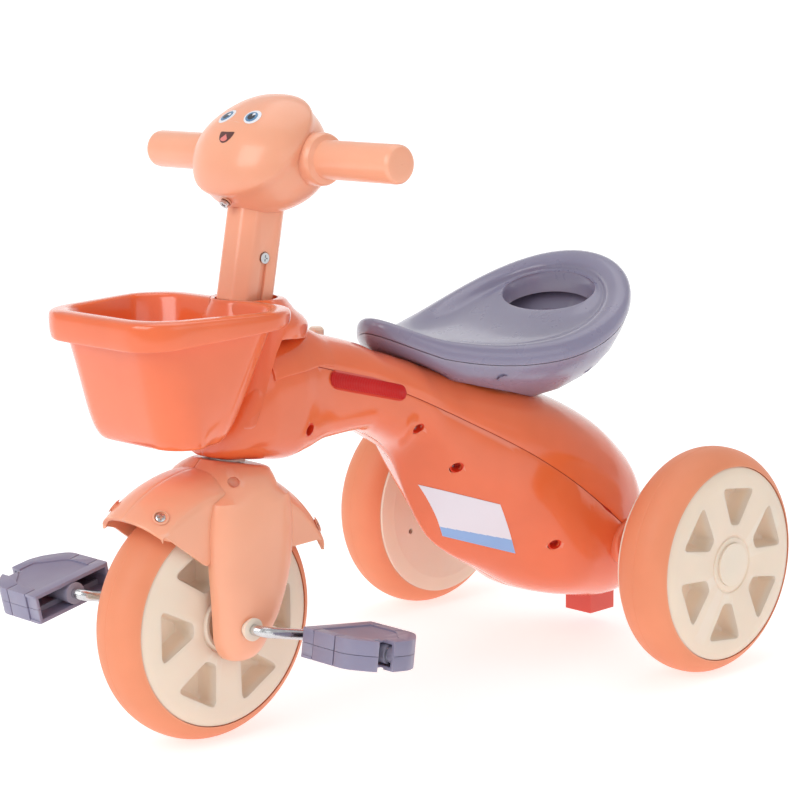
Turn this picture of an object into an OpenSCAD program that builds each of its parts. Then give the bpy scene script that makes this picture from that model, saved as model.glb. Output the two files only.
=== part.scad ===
// Toddler's pedal tricycle: moulded shells on steel rods, steered by a raked front fork.
// +X points forward, +Y to the rider's left, +Z up. The wheels stand on z = 0.

/* [Wheels] */
// Outer diameter of all three wheels
wheel_d = 180; // [160:1:216]
// Width of each tyre
tyre_w = 56; // [47:1:60]
// Radius of the pale hub face
hub_r = 77; // [70:0.5:78]
// Diameter of the crank rod and of the rear axle rod
rod_d = 8; // [6:0.5:9]
// Radius of the hub boss around the rod
boss_r = 20; // [16:0.5:24]
// Number of windows in a hub face
window_count = 6; // [5:1:7]

/* [Layout] */
// Distance between the front and rear axles
wheelbase = 383; // [350:1:460]
// Distance between the middles of the rear tyres
rear_track = 314; // [290:1:370]
// Rake of the steering axis from the vertical, in degrees
rake = 11; // [9:0.5:13]

/* [Fork] */
// Gap between a tyre side and a fork arm
fork_gap = 3; // [2.4:0.1:6]
// Depth of a fork arm at its thickest, across the tricycle
arm_depth = 21; // [18:0.5:26]
// Outer radius of the mudguard arch about the front axle
guard_r = 111; // [107:0.5:115]
// Diameter of the steering tube
steer_tube_d = 22; // [18:0.5:26]

/* [Crank and pedals] */
// Length of each crank arm
crank_len = 63; // [52:1:66]
// Angle of the left crank below the rearward direction at rest
crank_rest = 14; // [0:1:20]
// Length of a pedal along the wheel's rolling direction
pedal_l = 68; // [58:1:80]
// Width of a pedal across the tricycle
pedal_w = 66; // [58:1:84]
// Thickness of a pedal
pedal_h = 21.5; // [21:0.5:28]
// Forward tilt of the right pedal at rest, in degrees
right_pedal_tilt = 12; // [0:1:20]
// Backward tilt of the left pedal at rest, in degrees
left_pedal_tilt = 8; // [0:1:20]

/* [Handlebar] */
// Overall width across the two grips
bar_w = 264; // [240:1:317]
// Diameter of a grip
grip_d = 28; // [24:0.5:32]
// Height of the grips above the floor
bar_z = 418; // [408:1:440]
// Depth, width and height of the moulded head
head_size = [94, 102, 85]; // [80:1:106]

/* [Basket] */
// Distance from the front axle to the front of the basket rim
basket_reach = 95; // [85:1:116]
// Width of the basket across its rim, at the back and at the front
basket_w = [164, 142]; // [130:1:180]
// Height of the basket rim above the floor
rim_z = 319; // [316:1:330]
// Height of the basket floor above the floor
basket_floor_z = 224; // [222:1:240]
// Overhang of the rolled rim
rim_w = 10; // [7:0.5:12]

/* [Seat] */
// Length of the seat
seat_l = 250; // [230:1:290]
// Width of the seat
seat_w = 184; // [160:1:200]
// Length and width of the handle slot through the seat
slot_size = [46, 92]; // [40:1:110]

/* [Shells] */
// Wall of the moulded shells
wall = 3; // [2.5:0.1:3.6]

/* [Hidden] */

$fn = 64;
eps = 0.01;
run_gap = 0.05;            // radial running clearance of a rod in its bush
part_gap = 0.3;            // space kept between pieces that move past each other
seam_gap = 0.1;            // hairline between mouldings of one body

wheel_r = wheel_d / 2;
axle_z = wheel_r;
rod_r = rod_d / 2;
pedal_reach = crank_len * cos(crank_rest) + pedal_l / 2 * cos(right_pedal_tilt) + pedal_h / 2 * sin(right_pedal_tilt);
front_reach = max(basket_reach, pedal_reach);      // furthest part ahead of the front axle
overall_l = wheel_r + wheelbase + front_reach;
front_x = overall_l / 2 - front_reach;
rear_x = front_x - wheelbase;
arm_y = tyre_w / 2 + fork_gap;
arm_out_y = arm_y + arm_depth;
tube_r = steer_tube_d / 2;
crown_top = 114.2;         // crown height along the steering axis above the axle
neck_low = 115;            // underside of the neck along the same axis
head_x = front_x - (250 - axle_z) * tan(rake);     // steering axis at mid neck

shell_orange = [0.98, 0.47, 0.29];
light_peach = [1.0, 0.66, 0.49];
tyre_salmon = [0.98, 0.6, 0.46];
hub_cream = [0.97, 0.89, 0.78];
lilac_grey = [0.56, 0.54, 0.66];
steel = [0.75, 0.76, 0.78];
red = [0.8, 0.08, 0.08];
dark_orange = [0.9, 0.33, 0.2];

// ---- helpers ----

// Triangles between two neighbouring rows of n points each; row a starts at index a, row b at index b.
function strip(a, b, n, wrap) = [
    for (j = [0 : n - (wrap ? 1 : 2)])
        let (k = (j + 1) % n)
            each [[a + j, b + j, b + k], [a + j, b + k, a + k]]
];

// A closed solid through a list of rings with equal point counts; its two ends are capped,
// or joined to each other when loop is true.
module skin(rings, loop = false) {
    n = len(rings[0]);
    last = len(rings) - 1;
    sides = [for (i = [0 : last - 1]) each strip(i * n, (i + 1) * n, n, true)];
    ends = loop ? strip(last * n, 0, n, true) : concat(
        [for (j = [1 : n - 2]) [0, j, j + 1]],
        [for (j = [1 : n - 2]) [last * n, last * n + j + 1, last * n + j]]);
    polyhedron([for (r = rings) each r], concat(sides, ends), convexity = 10);
}

// A shell patch: rows holds [outer points, inner points] for each station.
module shell_skin(rows) {
    n = len(rows[0][0]);
    last = len(rows) - 1;
    outer = [for (i = [0 : last - 1]) each strip(2 * i * n, 2 * (i + 1) * n, n, false)];
    inner = [for (i = [0 : last - 1]) each strip((2 * i + 3) * n, (2 * i + 1) * n, n, false)];
    low = [for (i = [0 : last - 1])
        let (a = 2 * i * n, b = a + n, c = a + 2 * n, d = a + 3 * n)
            each [[a, b, d], [a, d, c]]];
    high = [for (i = [0 : last - 1])
        let (a = 2 * i * n + n - 1, b = a + n, c = a + 2 * n, d = a + 3 * n)
            each [[a, d, b], [a, c, d]]];
    front = strip(0, n, n, false);
    back = strip((2 * last + 1) * n, 2 * last * n, n, false);
    front_flipped = [for (f = front) [f[0], f[2], f[1]]];
    back_flipped = [for (f = back) [f[0], f[2], f[1]]];
    polyhedron([for (r = rows) each concat(r[0], r[1])],
        concat(outer, inner, low, high, front_flipped, back_flipped), convexity = 10);
}

function reversed(v) = [for (i = [len(v) - 1 : -1 : 0]) v[i]];

function spow(v, p) = sign(v) * pow(abs(v), p);

// Point of a superellipse with exponent e at angle t.
function oval(a, b, e, t) = [a * spow(cos(t), 2 / e), b * spow(sin(t), 2 / e)];

module side(y) { if (y > 0) children(); else mirror([0, 1, 0]) children(); }
module steered() translate([front_x, 0, axle_z]) rotate([0, -rake, 0]) children();
module at_front() translate([front_x, 0, axle_z]) children();
module along_y(y) translate([0, y, 0]) rotate([-90, 0, 0]) children();
module rod_y(r, y0, y1) along_y(y0) cylinder(r = r, h = y1 - y0);

module pan_screw(head_r, head_h, shank_r, length) {
    difference() {
        cylinder(r = head_r, h = head_h);
        for (a = [0, 90])
            rotate([0, 0, a]) translate([-head_r * 0.6, -0.5, head_h - 1]) cube([head_r * 1.2, 1, 2]);
    }
    translate([0, 0, -length]) cylinder(r = shank_r, h = length + eps);
}

// ---- body profile ----

body_e = 2.8;
// [x, lowest z, highest z, half width]; the first rows follow the steering head, the rest the rear axle
neck_rows = [
    [31, 214, 218, 2], [29, 208, 226, 16], [24, 206, 240, 26], [16, 204, 262, 34], [6, 203, 279, 40],
    [-8, 201, 288, 43], [-32, 198, 292, 42], [-50, 201, 293, 39], [-72, 207, 286, 37], [-112, 209, 274, 37]];
tank_rows = [
    [227, 204, 268, 38], [214, 197, 264, 39], [202, 189, 260, 40], [192, 178, 257, 41], [184, 160, 254, 42],
    [177, 145, 252, 43], [167, 127, 249, 46], [154, 109, 246, 49], [132, 92, 240, 57], [98, 73, 231, 69],
    [54, 49, 216, 76], [14, 38, 196, 77], [-14, 33, 175, 73],
    [-36, 33, 154, 62], [-52, 44, 130, 46], [-61, 66, 110, 28], [-64, 86, 90, 2]];
body_rows = concat(
    [for (r = neck_rows) [head_x + r[0], r[1], r[2], r[3]]],
    [for (r = tank_rows) [rear_x + r[0], r[1], r[2], r[3]]]);

function body_low(x) = lookup(x, [for (r = body_rows) [r[0], r[1]]]);
function body_high(x) = lookup(x, [for (r = body_rows) [r[0], r[2]]]);
function body_half(x) = lookup(x, [for (r = body_rows) [r[0], r[3]]]);
function body_mid(x) = (body_low(x) + body_high(x)) / 2;

// How far the tank's lower half draws in to its keel: not at the neck or tail, most in front of the axle.
keel_rows = [[rear_x + 30, 0], [rear_x + 98, 0.6], [rear_x + 154, 0.9], [rear_x + 184, 0.9], [rear_x + 214, 0]];
function keel_pinch(x, v) = 1 - lookup(x, keel_rows) * pow(max(0, v), 1.3);

// Half width of the body's outside at a given x and z.
function side_y(x, z) =
    let (h = (body_high(x) - body_low(x)) / 2, v = max(-1, min(1, (body_mid(x) - z) / h)))
        body_half(x) * pow(1 - pow(abs(v), body_e), 1 / body_e) * keel_pinch(x, v);

// The seam between the side shells and the top cover: three points, joined by one parabola.
seam_front = [head_x - 57, 265];
seam_mid = [rear_x + 135, 196];
seam_back = [rear_x - 10, 93];
function seam_z(x) =
    let (m1 = (seam_front[1] - seam_mid[1]) / (seam_front[0] - seam_mid[0]),
         m2 = (seam_mid[1] - seam_back[1]) / (seam_mid[0] - seam_back[0]),
         c = (m1 - m2) / (seam_front[0] - seam_back[0]))
        seam_front[1] + m1 * (x - seam_front[0]) + c * (x - seam_front[0]) * (x - seam_mid[0]);

// Angle of the seam on the section at x; it closes over the top of the neck under the collar.
cover_front_x = head_x - 30;
cover_open_x = head_x - 50;
function seam_level(x) =
    let (h = (body_high(x) - body_low(x)) / 2, v = (seam_z(x) - body_mid(x)) / h)
        max(-0.5, min(0.92, v));
function seam_angle(x) =
    x >= cover_front_x ? 90
    : let (a = asin(spow(seam_level(min(x, cover_open_x)), body_e / 2)))
        x <= cover_open_x ? a : a + (90 - a) * (x - cover_open_x) / (cover_front_x - cover_open_x);

function body_arc(r, t0, t1, n, inset) =
    let (zc = (r[1] + r[2]) / 2, h0 = (r[2] - r[1]) / 2,
         a = max(r[3] - inset, r[3] * 0.3), b = max(h0 - inset, h0 * 0.3))
        [for (i = [0 : n]) let (p = oval(a, b, body_e, t0 + (t1 - t0) * i / n))
            [r[0], p[0] * keel_pinch(r[0], -p[1] / b), zc + p[1]]];

module body_side_skin() {
    shell_skin([for (r = reversed(body_rows))
        let (t1 = seam_angle(r[0]) - (seam_angle(r[0]) < 90 ? 0.3 : 0))
            [body_arc(r, -90, t1, 16, 0), body_arc(r, -90, t1, 16, wall)]]);
}

// ---- body pieces ----

housing_r = 14;
housing_y = rear_track / 2 - tyre_w / 2 - 5;
foot_x = [-57, -27];
foot_y = 14;
foot_z = [13, 52];
bush_out_r = tube_r + 4;
flange_r = tube_r + 8;
// [x from the rear axle, z] of the body screws
screw_spots = [[312, 222], [196, 206], [163, 172], [71, 98]];
post_r = 6;
screw_hole_r = 4.4;

module neck_cut() steered() translate([-80, -80, 0]) cube([160, 160, neck_low]);

module body_half_shell() {
    difference() {
        union() {
            body_side_skin();
            for (s = screw_spots)
                translate([rear_x + s[0], 0, s[1]]) rod_y(post_r, seam_gap, side_y(rear_x + s[0], s[1]) - wall / 2);
        }
        neck_cut();
        steered() translate([0, 0, neck_low - 5]) cylinder(r = bush_out_r, h = 140);
        translate([rear_x, 0, axle_z]) rod_y(housing_r + seam_gap, -1, housing_y);
        translate([rear_x + foot_x[0] - seam_gap, -1, foot_z[0]])
            cube([foot_x[1] - foot_x[0] + 2 * seam_gap, foot_y + 1 + seam_gap, foot_z[1] - foot_z[0] + seam_gap]);
        for (s = screw_spots)
            translate([rear_x + s[0], 0, s[1]]) rod_y(screw_hole_r, side_y(rear_x + s[0], s[1]) - 8, 100);
        for (s = screw_spots)
            translate([rear_x + s[0], 0, s[1]]) rod_y(2, -1, 100);
    }
}

module body_left_shell() color(shell_orange) body_half_shell();
module body_right_shell() color(shell_orange) mirror([0, 1, 0]) body_half_shell();

module body_top_cover() {
    rows = [for (r = body_rows) if (r[0] <= cover_open_x + 1) r];
    x0 = cover_open_x + 6;
    first = [x0, body_low(x0), body_high(x0), body_half(x0)];
    color(shell_orange) difference() {
        shell_skin([for (r = reversed(concat([first], rows)))
            let (a = seam_angle(r[0]) + 0.3)
                [body_arc(r, a, 180 - a, 24, 0), body_arc(r, a, 180 - a, 24, wall)]]);
        for (x = seat_post_x)
            translate([x, 0, body_high(x) - 20]) cylinder(r = 2.2, h = 40);
        translate([rear_x, 0, axle_z]) rod_y(housing_r + seam_gap, -housing_y, housing_y);
    }
}

module rear_axle_housing() {
    color(shell_orange) translate([rear_x, 0, axle_z]) difference() {
        rod_y(housing_r, -housing_y, housing_y);
        rod_y(rod_r, -housing_y - 1, housing_y + 1);
    }
}

// Block under the tail that stops the tricycle tipping backwards.
module tail_foot() {
    color(dark_orange) translate([rear_x + foot_x[0], -foot_y, foot_z[0]])
        cube([foot_x[1] - foot_x[0], 2 * foot_y, foot_z[1] - foot_z[0]]);
}

rear_face_y = rear_track / 2 - tyre_w / 2;       // inner plane of a rear wheel
rear_out_y = rear_track / 2 + tyre_w / 2;
cap_depth = 9;
nut_t = 1.6;
axle_end_y = rear_out_y - 3.5;

module rear_axle() color(steel) translate([rear_x, 0, axle_z]) rod_y(rod_r, -axle_end_y, axle_end_y);

module rear_push_nuts() {
    color(steel) for (s = [-1, 1]) side(s) translate([rear_x, 0, axle_z]) difference() {
        rod_y(rod_r + 3.5, rear_out_y - cap_depth + part_gap, rear_out_y - cap_depth + part_gap + nut_t);
        rod_y(rod_r, 0, rear_out_y);
    }
}

module rear_spacers() {
    color(steel) for (s = [-1, 1]) side(s) translate([rear_x, 0, axle_z]) difference() {
        rod_y(rod_r + 4, housing_y, rear_face_y - part_gap);
        rod_y(rod_r, 0, rear_out_y);
    }
}

module neck_bush(z0, flange_up) {
    steered() difference() {
        union() {
            translate([0, 0, z0]) cylinder(r = bush_out_r, h = 16);
            translate([0, 0, flange_up ? z0 + 16 - eps : z0]) cylinder(r = bush_out_r, h = 2);
        }
        translate([0, 0, z0 - 1]) cylinder(r = tube_r + run_gap, h = 30);
    }
}

upper_bush_s = 196;
module neck_bush_lower() color(hub_cream) neck_bush(neck_low, false);
module neck_bush_upper() color(hub_cream) neck_bush(upper_bush_s, true);

plug_at = [head_x - 103, -23];
module neck_plug() {
    color(hub_cream) translate([plug_at[0], plug_at[1], body_high(plug_at[0]) - 1]) {
        cylinder(r = 6, h = 7);
        translate([0, 0, 7 - eps]) cylinder(r1 = 6, r2 = 4.5, h = 2, $fn = 48);
    }
}

module body_screws() {
    color(steel) for (s = screw_spots)
        translate([rear_x + s[0], side_y(rear_x + s[0], s[1]) - 8 + seam_gap, s[1]])
            rotate([-90, 0, 0]) pan_screw(3.8, 2.4, 1.8, 36);
}

module surface_patch(x0, x1, z_mid, z_half, y_in, y_out, lean = 0) {
    steps = 16;
    rows = [for (i = [0 : steps])
        let (x = x1 + (x0 - x1) * i / steps, zm = z_mid[1] + (z_mid[0] - z_mid[1]) * i / steps)
            [for (o = [y_out, y_in])
                [for (j = [0 : 8])
                    let (dz = z_half * (j / 4 - 1), xs = x + lean * dz)
                        [xs, side_y(xs, zm + dz) + o, zm + dz]]]];
    shell_skin(rows);
}

reflector_x = [head_x - 61, head_x - 137];
module reflector() surface_patch(reflector_x[0], reflector_x[1], [257, 237], 5.5, 0.15, 2.2);
module reflector_left() color(red) reflector();
module reflector_right() color(red) mirror([0, 1, 0]) reflector();

module label() color("white") surface_patch(rear_x + 152, rear_x + 104, [131, 114], 20, 0.7, 1.3, 0.62);

// ---- basket ----

rim_front_x = front_x + basket_reach;
rim_back_x = head_x - 6;
basket_e = 2.4;

// Rounded trapezoid: back half width w0 at x0, front half width w1 at x1, corner radius r.
function tray(x0, x1, w0, w1, r, z, dip = 0) = [
    for (c = [[x1 - r, w1 - r, 0], [x0 + r, w0 - r, 90], [x0 + r, -w0 + r, 180], [x1 - r, -w1 + r, 270]])
        for (i = [0 : 6])
            let (a = c[2] + 15 * i, x = c[0] + r * cos(a), y = c[1] + r * sin(a))
                [x, y, z - dip * max(0, (x - x0) / (x1 - x0))]];

module basket_cup() {
    x1 = rim_front_x;
    x0 = rim_back_x;
    w0 = basket_w[0] / 2;
    w1 = basket_w[1] / 2;
    floor_z = basket_floor_z;
    skin(reversed([
        tray(x0 + 44, x1 - 39, w0 - 44, w1 - 27, 20, floor_z + wall),
        tray(x0 + 40, x1 - 33, w0 - 40, w1 - 22, 24, floor_z + wall + 3),
        tray(x0 + 34, x1 - 28, w0 - 34, w1 - 18, 26, floor_z + 16),
        tray(x0 + 16, x1 - rim_w - wall, w0 - rim_w - wall, w1 - rim_w - wall, 28, rim_z - 4),
        tray(x0 + 14, x1 - rim_w - wall + 2, w0 - rim_w - wall + 2, w1 - rim_w - wall + 2, 29, rim_z),
        tray(x0 + 4, x1 - 2, w0 - 2, w1 - 2, 34, rim_z, 1),
        tray(x0 + 2, x1, w0, w1, 35, rim_z - 3, 1),
        tray(x0 + 3, x1 - 1, w0 - 1, w1 - 1, 35, rim_z - 9, 9),
        tray(x0 + 6, x1 - 4, w0 - 4, w1 - 4, 33, rim_z - 9, 9),
        tray(x0 + 13, x1 - rim_w, w0 - rim_w, w1 - rim_w, 30, rim_z - 8, 7),
        tray(x0 + 31, x1 - 25, w0 - 31, w1 - 15, 28, floor_z + 14),
        tray(x0 + 37, x1 - 30, w0 - 37, w1 - 19, 26, floor_z + 3),
        tray(x0 + 44, x1 - 39, w0 - 44, w1 - 27, 20, floor_z)]));
}

collar_low = 294;
collar_bore_r = 25;
module basket() {
    axis_x = front_x - (rim_z - axle_z) * tan(rake);
    color(shell_orange) difference() {
        union() {
            basket_cup();
            translate([axis_x - 1, 0, collar_low]) difference() {
                union() {
                    cylinder(r = 44, h = 10);
                    translate([0, 0, 10 - eps]) cylinder(r1 = 44, r2 = 32, h = 14.3);
                }
                translate([21, -60, -1]) cube([60, 120, 40]);
            }
        }
        steered() cylinder(r = collar_bore_r, h = 300);
    }
}

// ---- seat ----

seat_front_x = rear_x + 217;
seat_mid_x = seat_front_x - seat_l / 2;
seat_post_x = [seat_mid_x + 60, seat_mid_x - 20];
slot_x = rear_x + 13;

// Outline of the seat at angle t, shrunk by inset.
function seat_edge(t, inset) =
    let (u = cos(t), half = (seat_w / 2 - inset) * (1 - 0.34 * u))
        [seat_mid_x + (seat_l / 2 - inset) * u, half * sin(t) * (1 - 0.1 * max(0, u))];
function seat_rim_z(x) =
    let (u = (seat_mid_x - x) / (seat_l / 2)) 269 + 19 * u + 38 * u * u;
function slot_edge(t, grow) =
    [slot_x + (slot_size[0] / 2 + grow) * cos(t), (slot_size[1] / 2 + grow) * sin(t)];
function seat_ring(inset, mix, drop, grow = 0) = [
    for (i = [0 : 47])
        let (t = 7.5 * i, a = seat_edge(t, inset), b = slot_edge(t, grow),
             p = a * (1 - mix) + b * mix)
            [p[0], p[1], seat_rim_z(p[0]) - drop]];

module seat_top() {
    color(lilac_grey) skin([
        seat_ring(0.5, 0, 15), seat_ring(0, 0, 5), seat_ring(5, 0, 0), seat_ring(9, 0.15, 3),
        seat_ring(9, 0.4, 9), seat_ring(9, 0.75, 9), seat_ring(9, 1, 5, 4), seat_ring(9, 1, 9, 0),
        seat_ring(9, 1, 20, 0), seat_ring(9, 1, 20, 3), seat_ring(9, 1, 12, 3),
        seat_ring(9, 0.75, 12.5), seat_ring(9, 0.4, 12.5), seat_ring(8, 0.08, 7), seat_ring(3.5, 0, 6),
        seat_ring(3.5, 0, 15)], loop = true);
}

// The bowl under the seat: it narrows from the seat's edge down to a foot that rests on the body.
base_foot = [rear_x + 122, 66, 50];          // middle x, half length, half width
slot_room = 3.5;           // clearance of the bowl around the slot's wall
function foot_edge(t, inset) =
    [base_foot[0] + (base_foot[1] - inset) * cos(t), (base_foot[2] - inset) * sin(t) * (1 - 0.3 * cos(t))];
function base_ring(mix, mix_z, inset) = [
    for (i = [0 : 47])
        let (t = 7.5 * i, a = seat_edge(t, inset), b = foot_edge(t, inset), p = a * (1 - mix) + b * mix)
            [p[0], p[1], (seat_rim_z(a[0]) - 15.3) * (1 - mix_z) + (body_high(b[0]) + 1.6) * mix_z]];
module seat_base() {
    color(lilac_grey) difference() {
        skin([
            base_ring(0, 0, 5), base_ring(0.15, 0.36, 4.5), base_ring(0.45, 0.7, 4), base_ring(1, 1, 4),
            base_ring(1, 1, 0.5), base_ring(0.45, 0.74, 1), base_ring(0.15, 0.4, 1.5), base_ring(0, 0, 1.5)],
            loop = true);
        translate([0, 0, 180]) linear_extrude(170) polygon([for (i = [0 : 47]) slot_edge(7.5 * i, slot_room)]);
    }
}

module seat_screws() {
    color(steel) for (x = seat_post_x)
        translate([x, 0, body_high(x) + 1.8]) pan_screw(4, 2.4, 1.9, 14);
}

// ---- fork ----

// [z from the axle, middle x, half length, depth share, inner y]; the crown rows reach the middle plane
arm_rows = [
    [-26, -3, 8, 0.3, arm_y], [-23, -3, 14, 0.66, arm_y], [-12, -3, 21, 0.92, arm_y], [5, -9, 28, 1, arm_y],
    [25, -13, 33, 1, arm_y], [45, -15, 37, 0.95, arm_y], [70, -16, 43, 0.86, arm_y], [95, -17, 47, 0.74, arm_y],
    [98, -17, 48, 0.72, seam_gap / 2], [106, -19, 45, 0.6, seam_gap / 2], [112, -20, 39, 0.4, seam_gap / 2],
    [117, -21, 32, 0.2, seam_gap / 2]];

function arm_ring(r) = [
    for (i = [0 : 20])
        let (t = 9 * i, bulge = arm_y + arm_depth * r[3] - r[4])
            [r[1] + r[2] * cos(t), r[4] + max(0.5, bulge * pow(sin(t), 0.7)), r[0]]];

module fender_ring() {
    rotate([-90, 0, 0]) rotate_extrude($fn = 120) polygon([
        [guard_r, seam_gap / 2], [guard_r - 1, 14], [guard_r - 6, 26], [guard_r - 14, arm_y + 3],
        [60, arm_y + 3], [60, arm_y], [guard_r - 16, arm_y], [guard_r - 9, 23.5], [guard_r - 4, 13],
        [guard_r - 4, seam_gap / 2]]);
}

guard_front_tip = [guard_r * cos(49), guard_r * sin(49)];
guard_back_tip = [-guard_r * cos(16), guard_r * sin(16)];
module fender_zone() {
    rotate([90, 0, 0]) translate([0, 0, -100]) linear_extrude(200) polygon([
        guard_front_tip, [25, 47], [0, 60], [-40, 60], [-52, 38], guard_back_tip,
        [-guard_r - 20, 80], [-guard_r, 140], [guard_r, 140]]);
}

bush_r = 8.3;
bush_bore_r = rod_r + run_gap;
fork_screw_spots = [[guard_r - 8, 52], [guard_r - 8, 152]];

module fork_half() {
    difference() {
        union() {
            at_front() skin([for (r = arm_rows) arm_ring(r)]);
            at_front() intersection() {
                fender_ring();
                fender_zone();
            }
            for (s = fork_screw_spots)
                at_front() rotate([0, -s[1], 0]) translate([s[0], 0, 0]) rod_y(4.5, seam_gap / 2, 16);
        }
        steered() translate([-200, -200, crown_top]) cube([400, 400, 100]);
        steered() translate([0, 0, 92]) cylinder(r = tube_r, h = 60);
        at_front() rod_y(bush_r - 1.3, 0, 100);
        for (s = fork_screw_spots)
            at_front() rotate([0, -s[1], 0]) translate([s[0], 0, 0]) {
                rod_y(2, -1, 40);
                rod_y(4.2, 16, 60);
            }
    }
}

module fork_left() color(light_peach) fork_half();
module fork_right() color(light_peach) mirror([0, 1, 0]) fork_half();

module fork_screws() {
    color(steel) for (s = fork_screw_spots)
        at_front() rotate([0, -s[1], 0]) translate([s[0], 16 + seam_gap, 0])
            rotate([-90, 0, 0]) pan_screw(4, 2.4, 1.8, 30);
}

module fork_bushes() {
    color(hub_cream) for (s = [-1, 1]) side(s) at_front() difference() {
        union() {
            rod_y(bush_r - 1.3, arm_y + part_gap, arm_out_y + 0.5);
            rod_y(bush_r, arm_out_y + 0.4, arm_out_y + 2.4);
        }
        rod_y(bush_bore_r, 0, 100);
    }
}

// ---- steering column and head ----

stem_s = [228, 306];       // lower and upper end along the steering axis
stem_size = [40, 32];
stem_chamfer = 8;
tube_top_s = 290;

module steering_tube() {
    color(steel) steered() difference() {
        translate([0, 0, 96]) cylinder(r = tube_r, h = tube_top_s - 96);
        translate([0, 0, 95]) cylinder(r = tube_r - 1.5, h = tube_top_s);
        translate([0, 0, 262]) rod_y(2, -40, 40);
    }
}

module stem_outline(a, b, c) {
    polygon([[a, b - c], [a - c, b], [c - a, b], [-a, b - c], [-a, c - b], [c - a, -b], [a - c, -b], [a, c - b]]);
}

module stem() {
    color(light_peach) steered() difference() {
        translate([0, 0, stem_s[0]]) linear_extrude(stem_s[1] - stem_s[0])
            stem_outline(stem_size[0] / 2, stem_size[1] / 2, stem_chamfer);
        translate([0, 0, stem_s[0] - 1]) cylinder(r = tube_r, h = stem_s[1] - stem_s[0] + 2);
        translate([0, 0, 262]) rod_y(2, -40, 40);
        translate([0, 0, 262]) rod_y(4.3, stem_size[1] / 2 - 1.8, 40);
    }
}

module stem_screw() {
    color(steel) steered() translate([0, stem_size[1] / 2 - 1.7, 262])
        rotate([-90, 0, 0]) pan_screw(3.9, 2.4, 1.8, 22);
}

bar_x = front_x - (bar_z - axle_z) * tan(rake) - 11;
head_mid = [bar_x + 12, 0, bar_z + 2];
head_tilt = -16;           // the head leans down towards the front
grip_r = grip_d / 2;
grip_in_y = 30;
grip_flange_r = grip_r + 4;
collar_y = [head_size[1] / 2 - 8, head_size[1] / 2 + 5];

// Cross-section of the head at u (-1 back, 1 front), shrunk by inset.
function head_ring(u, inset) =
    let (s = pow(max(0, 1 - pow(abs(u), 2.3)), 1 / 2.3))
        [for (i = [0 : 35])
            let (p = oval(max(0.6, (head_size[1] / 2) * s - inset), max(0.6, (head_size[2] / 2) * s - inset), 2.2, 10 * i))
                [(head_size[0] / 2 - inset) * u, p[0], p[1]]];

module in_head() translate(head_mid) rotate([0, -head_tilt, 0]) children();

// Distance from the head's middle to its surface in the direction given by azimuth and elevation.
function head_reach(az, el) =
    let (u = abs(cos(az) * cos(el)) / (head_size[0] / 2), v = abs(sin(az) * cos(el)) / (head_size[1] / 2),
         w = abs(sin(el)) / (head_size[2] / 2), ring = pow(pow(v, 2.2) + pow(w, 2.2), 1 / 2.2))
        pow(pow(u, 2.3) + pow(ring, 2.3), -1 / 2.3);
chin_angle = 27;           // the head's screw sits this far below the middle of its front
module at_chin() in_head() rotate([0, chin_angle, 0]) translate([head_reach(0, -chin_angle), 0, 0])
    rotate([0, 90, 0]) children();

module head_holes() {
    at_chin() cylinder(r = 1.9, h = 40, center = true);
    steered() translate([0, 0, 240]) linear_extrude(stem_s[1] - 240 + 1)
        stem_outline(stem_size[0] / 2 + seam_gap, stem_size[1] / 2 + seam_gap, stem_chamfer);
    for (s = [-1, 1])
        side(s) translate([bar_x, 0, bar_z]) {
            rod_y(grip_r + 5 + seam_gap, head_size[1] / 2 - 9, 100);
            rod_y(grip_r + seam_gap, grip_in_y - 1, 100);
            rod_y(grip_flange_r + seam_gap, grip_in_y - seam_gap, grip_in_y + 4 + seam_gap);
        }
}

head_split = -0.1;
head_front_u = [for (i = [0 : 7]) head_split + 0.012 + (0.995 - head_split - 0.012) * sin(90 * i / 7)];
head_back_u = [for (i = [0 : 7]) head_split - 0.012 - (0.983 + head_split) * sin(90 * i / 7)];

module head_shell(us) {
    outer = [for (u = us) head_ring(u, 0)];
    inner = [for (i = [len(us) - 1 : -1 : 0]) head_ring(us[i], wall)];
    color(light_peach) difference() {
        in_head() if (us[1] > us[0]) skin(concat(inner, outer)); else mirror([1, 0, 0])
            skin([for (r = concat(inner, outer)) [for (p = r) [-p[0], p[1], p[2]]]]);
        head_holes();
    }
}

module head_front_shell() head_shell(head_front_u);
module head_rear_shell() head_shell(head_back_u);

module head_screw() color(steel) at_chin() translate([0, 0, 0.3]) pan_screw(3.5, 2.2, 1.7, 8);

module grip() {
    translate([bar_x, 0, bar_z]) difference() {
        union() {
            rod_y(grip_r, grip_in_y, bar_w / 2);
            rod_y(grip_flange_r, grip_in_y, grip_in_y + 4);
            rod_y(grip_r + 5, collar_y[0], collar_y[1]);
        }
        rod_y(grip_r - wall, grip_in_y - 1, bar_w / 2 - wall - 1);
    }
}
module grip_left() color(light_peach) grip();
module grip_right() color(light_peach) mirror([0, 1, 0]) grip();

module face_disc(az, el, r) {
    in_head() rotate([0, 0, az]) rotate([0, -el, 0]) translate([head_reach(az, el) + 0.5, 0, 0])
        rotate([0, 90, 0]) cylinder(r = r, h = 0.6);
}

eye_spots = [[-28, 62], [28, 62]];
mouth_spot = [0, 38];
module face_eyes() color("white") for (e = eye_spots) face_disc(e[0], e[1], 6.5);
module face_mouth() color([0.35, 0.1, 0.1]) face_disc(mouth_spot[0], mouth_spot[1], 6);

// ---- wheels ----

tyre_e = 2.2;
tyre_root_r = 66;          // radius at which the tyre's curve would meet the side plane
function tyre_y(r) = (tyre_w / 2) * pow(1 - pow(max(0, (r - tyre_root_r) / (wheel_r - tyre_root_r)), tyre_e), 1 / tyre_e);
function tyre_r(y) = tyre_root_r + (wheel_r - tyre_root_r) * pow(1 - pow(abs(y) / (tyre_w / 2), tyre_e), 1 / tyre_e);
hub_edge_y = tyre_y(hub_r);

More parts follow.
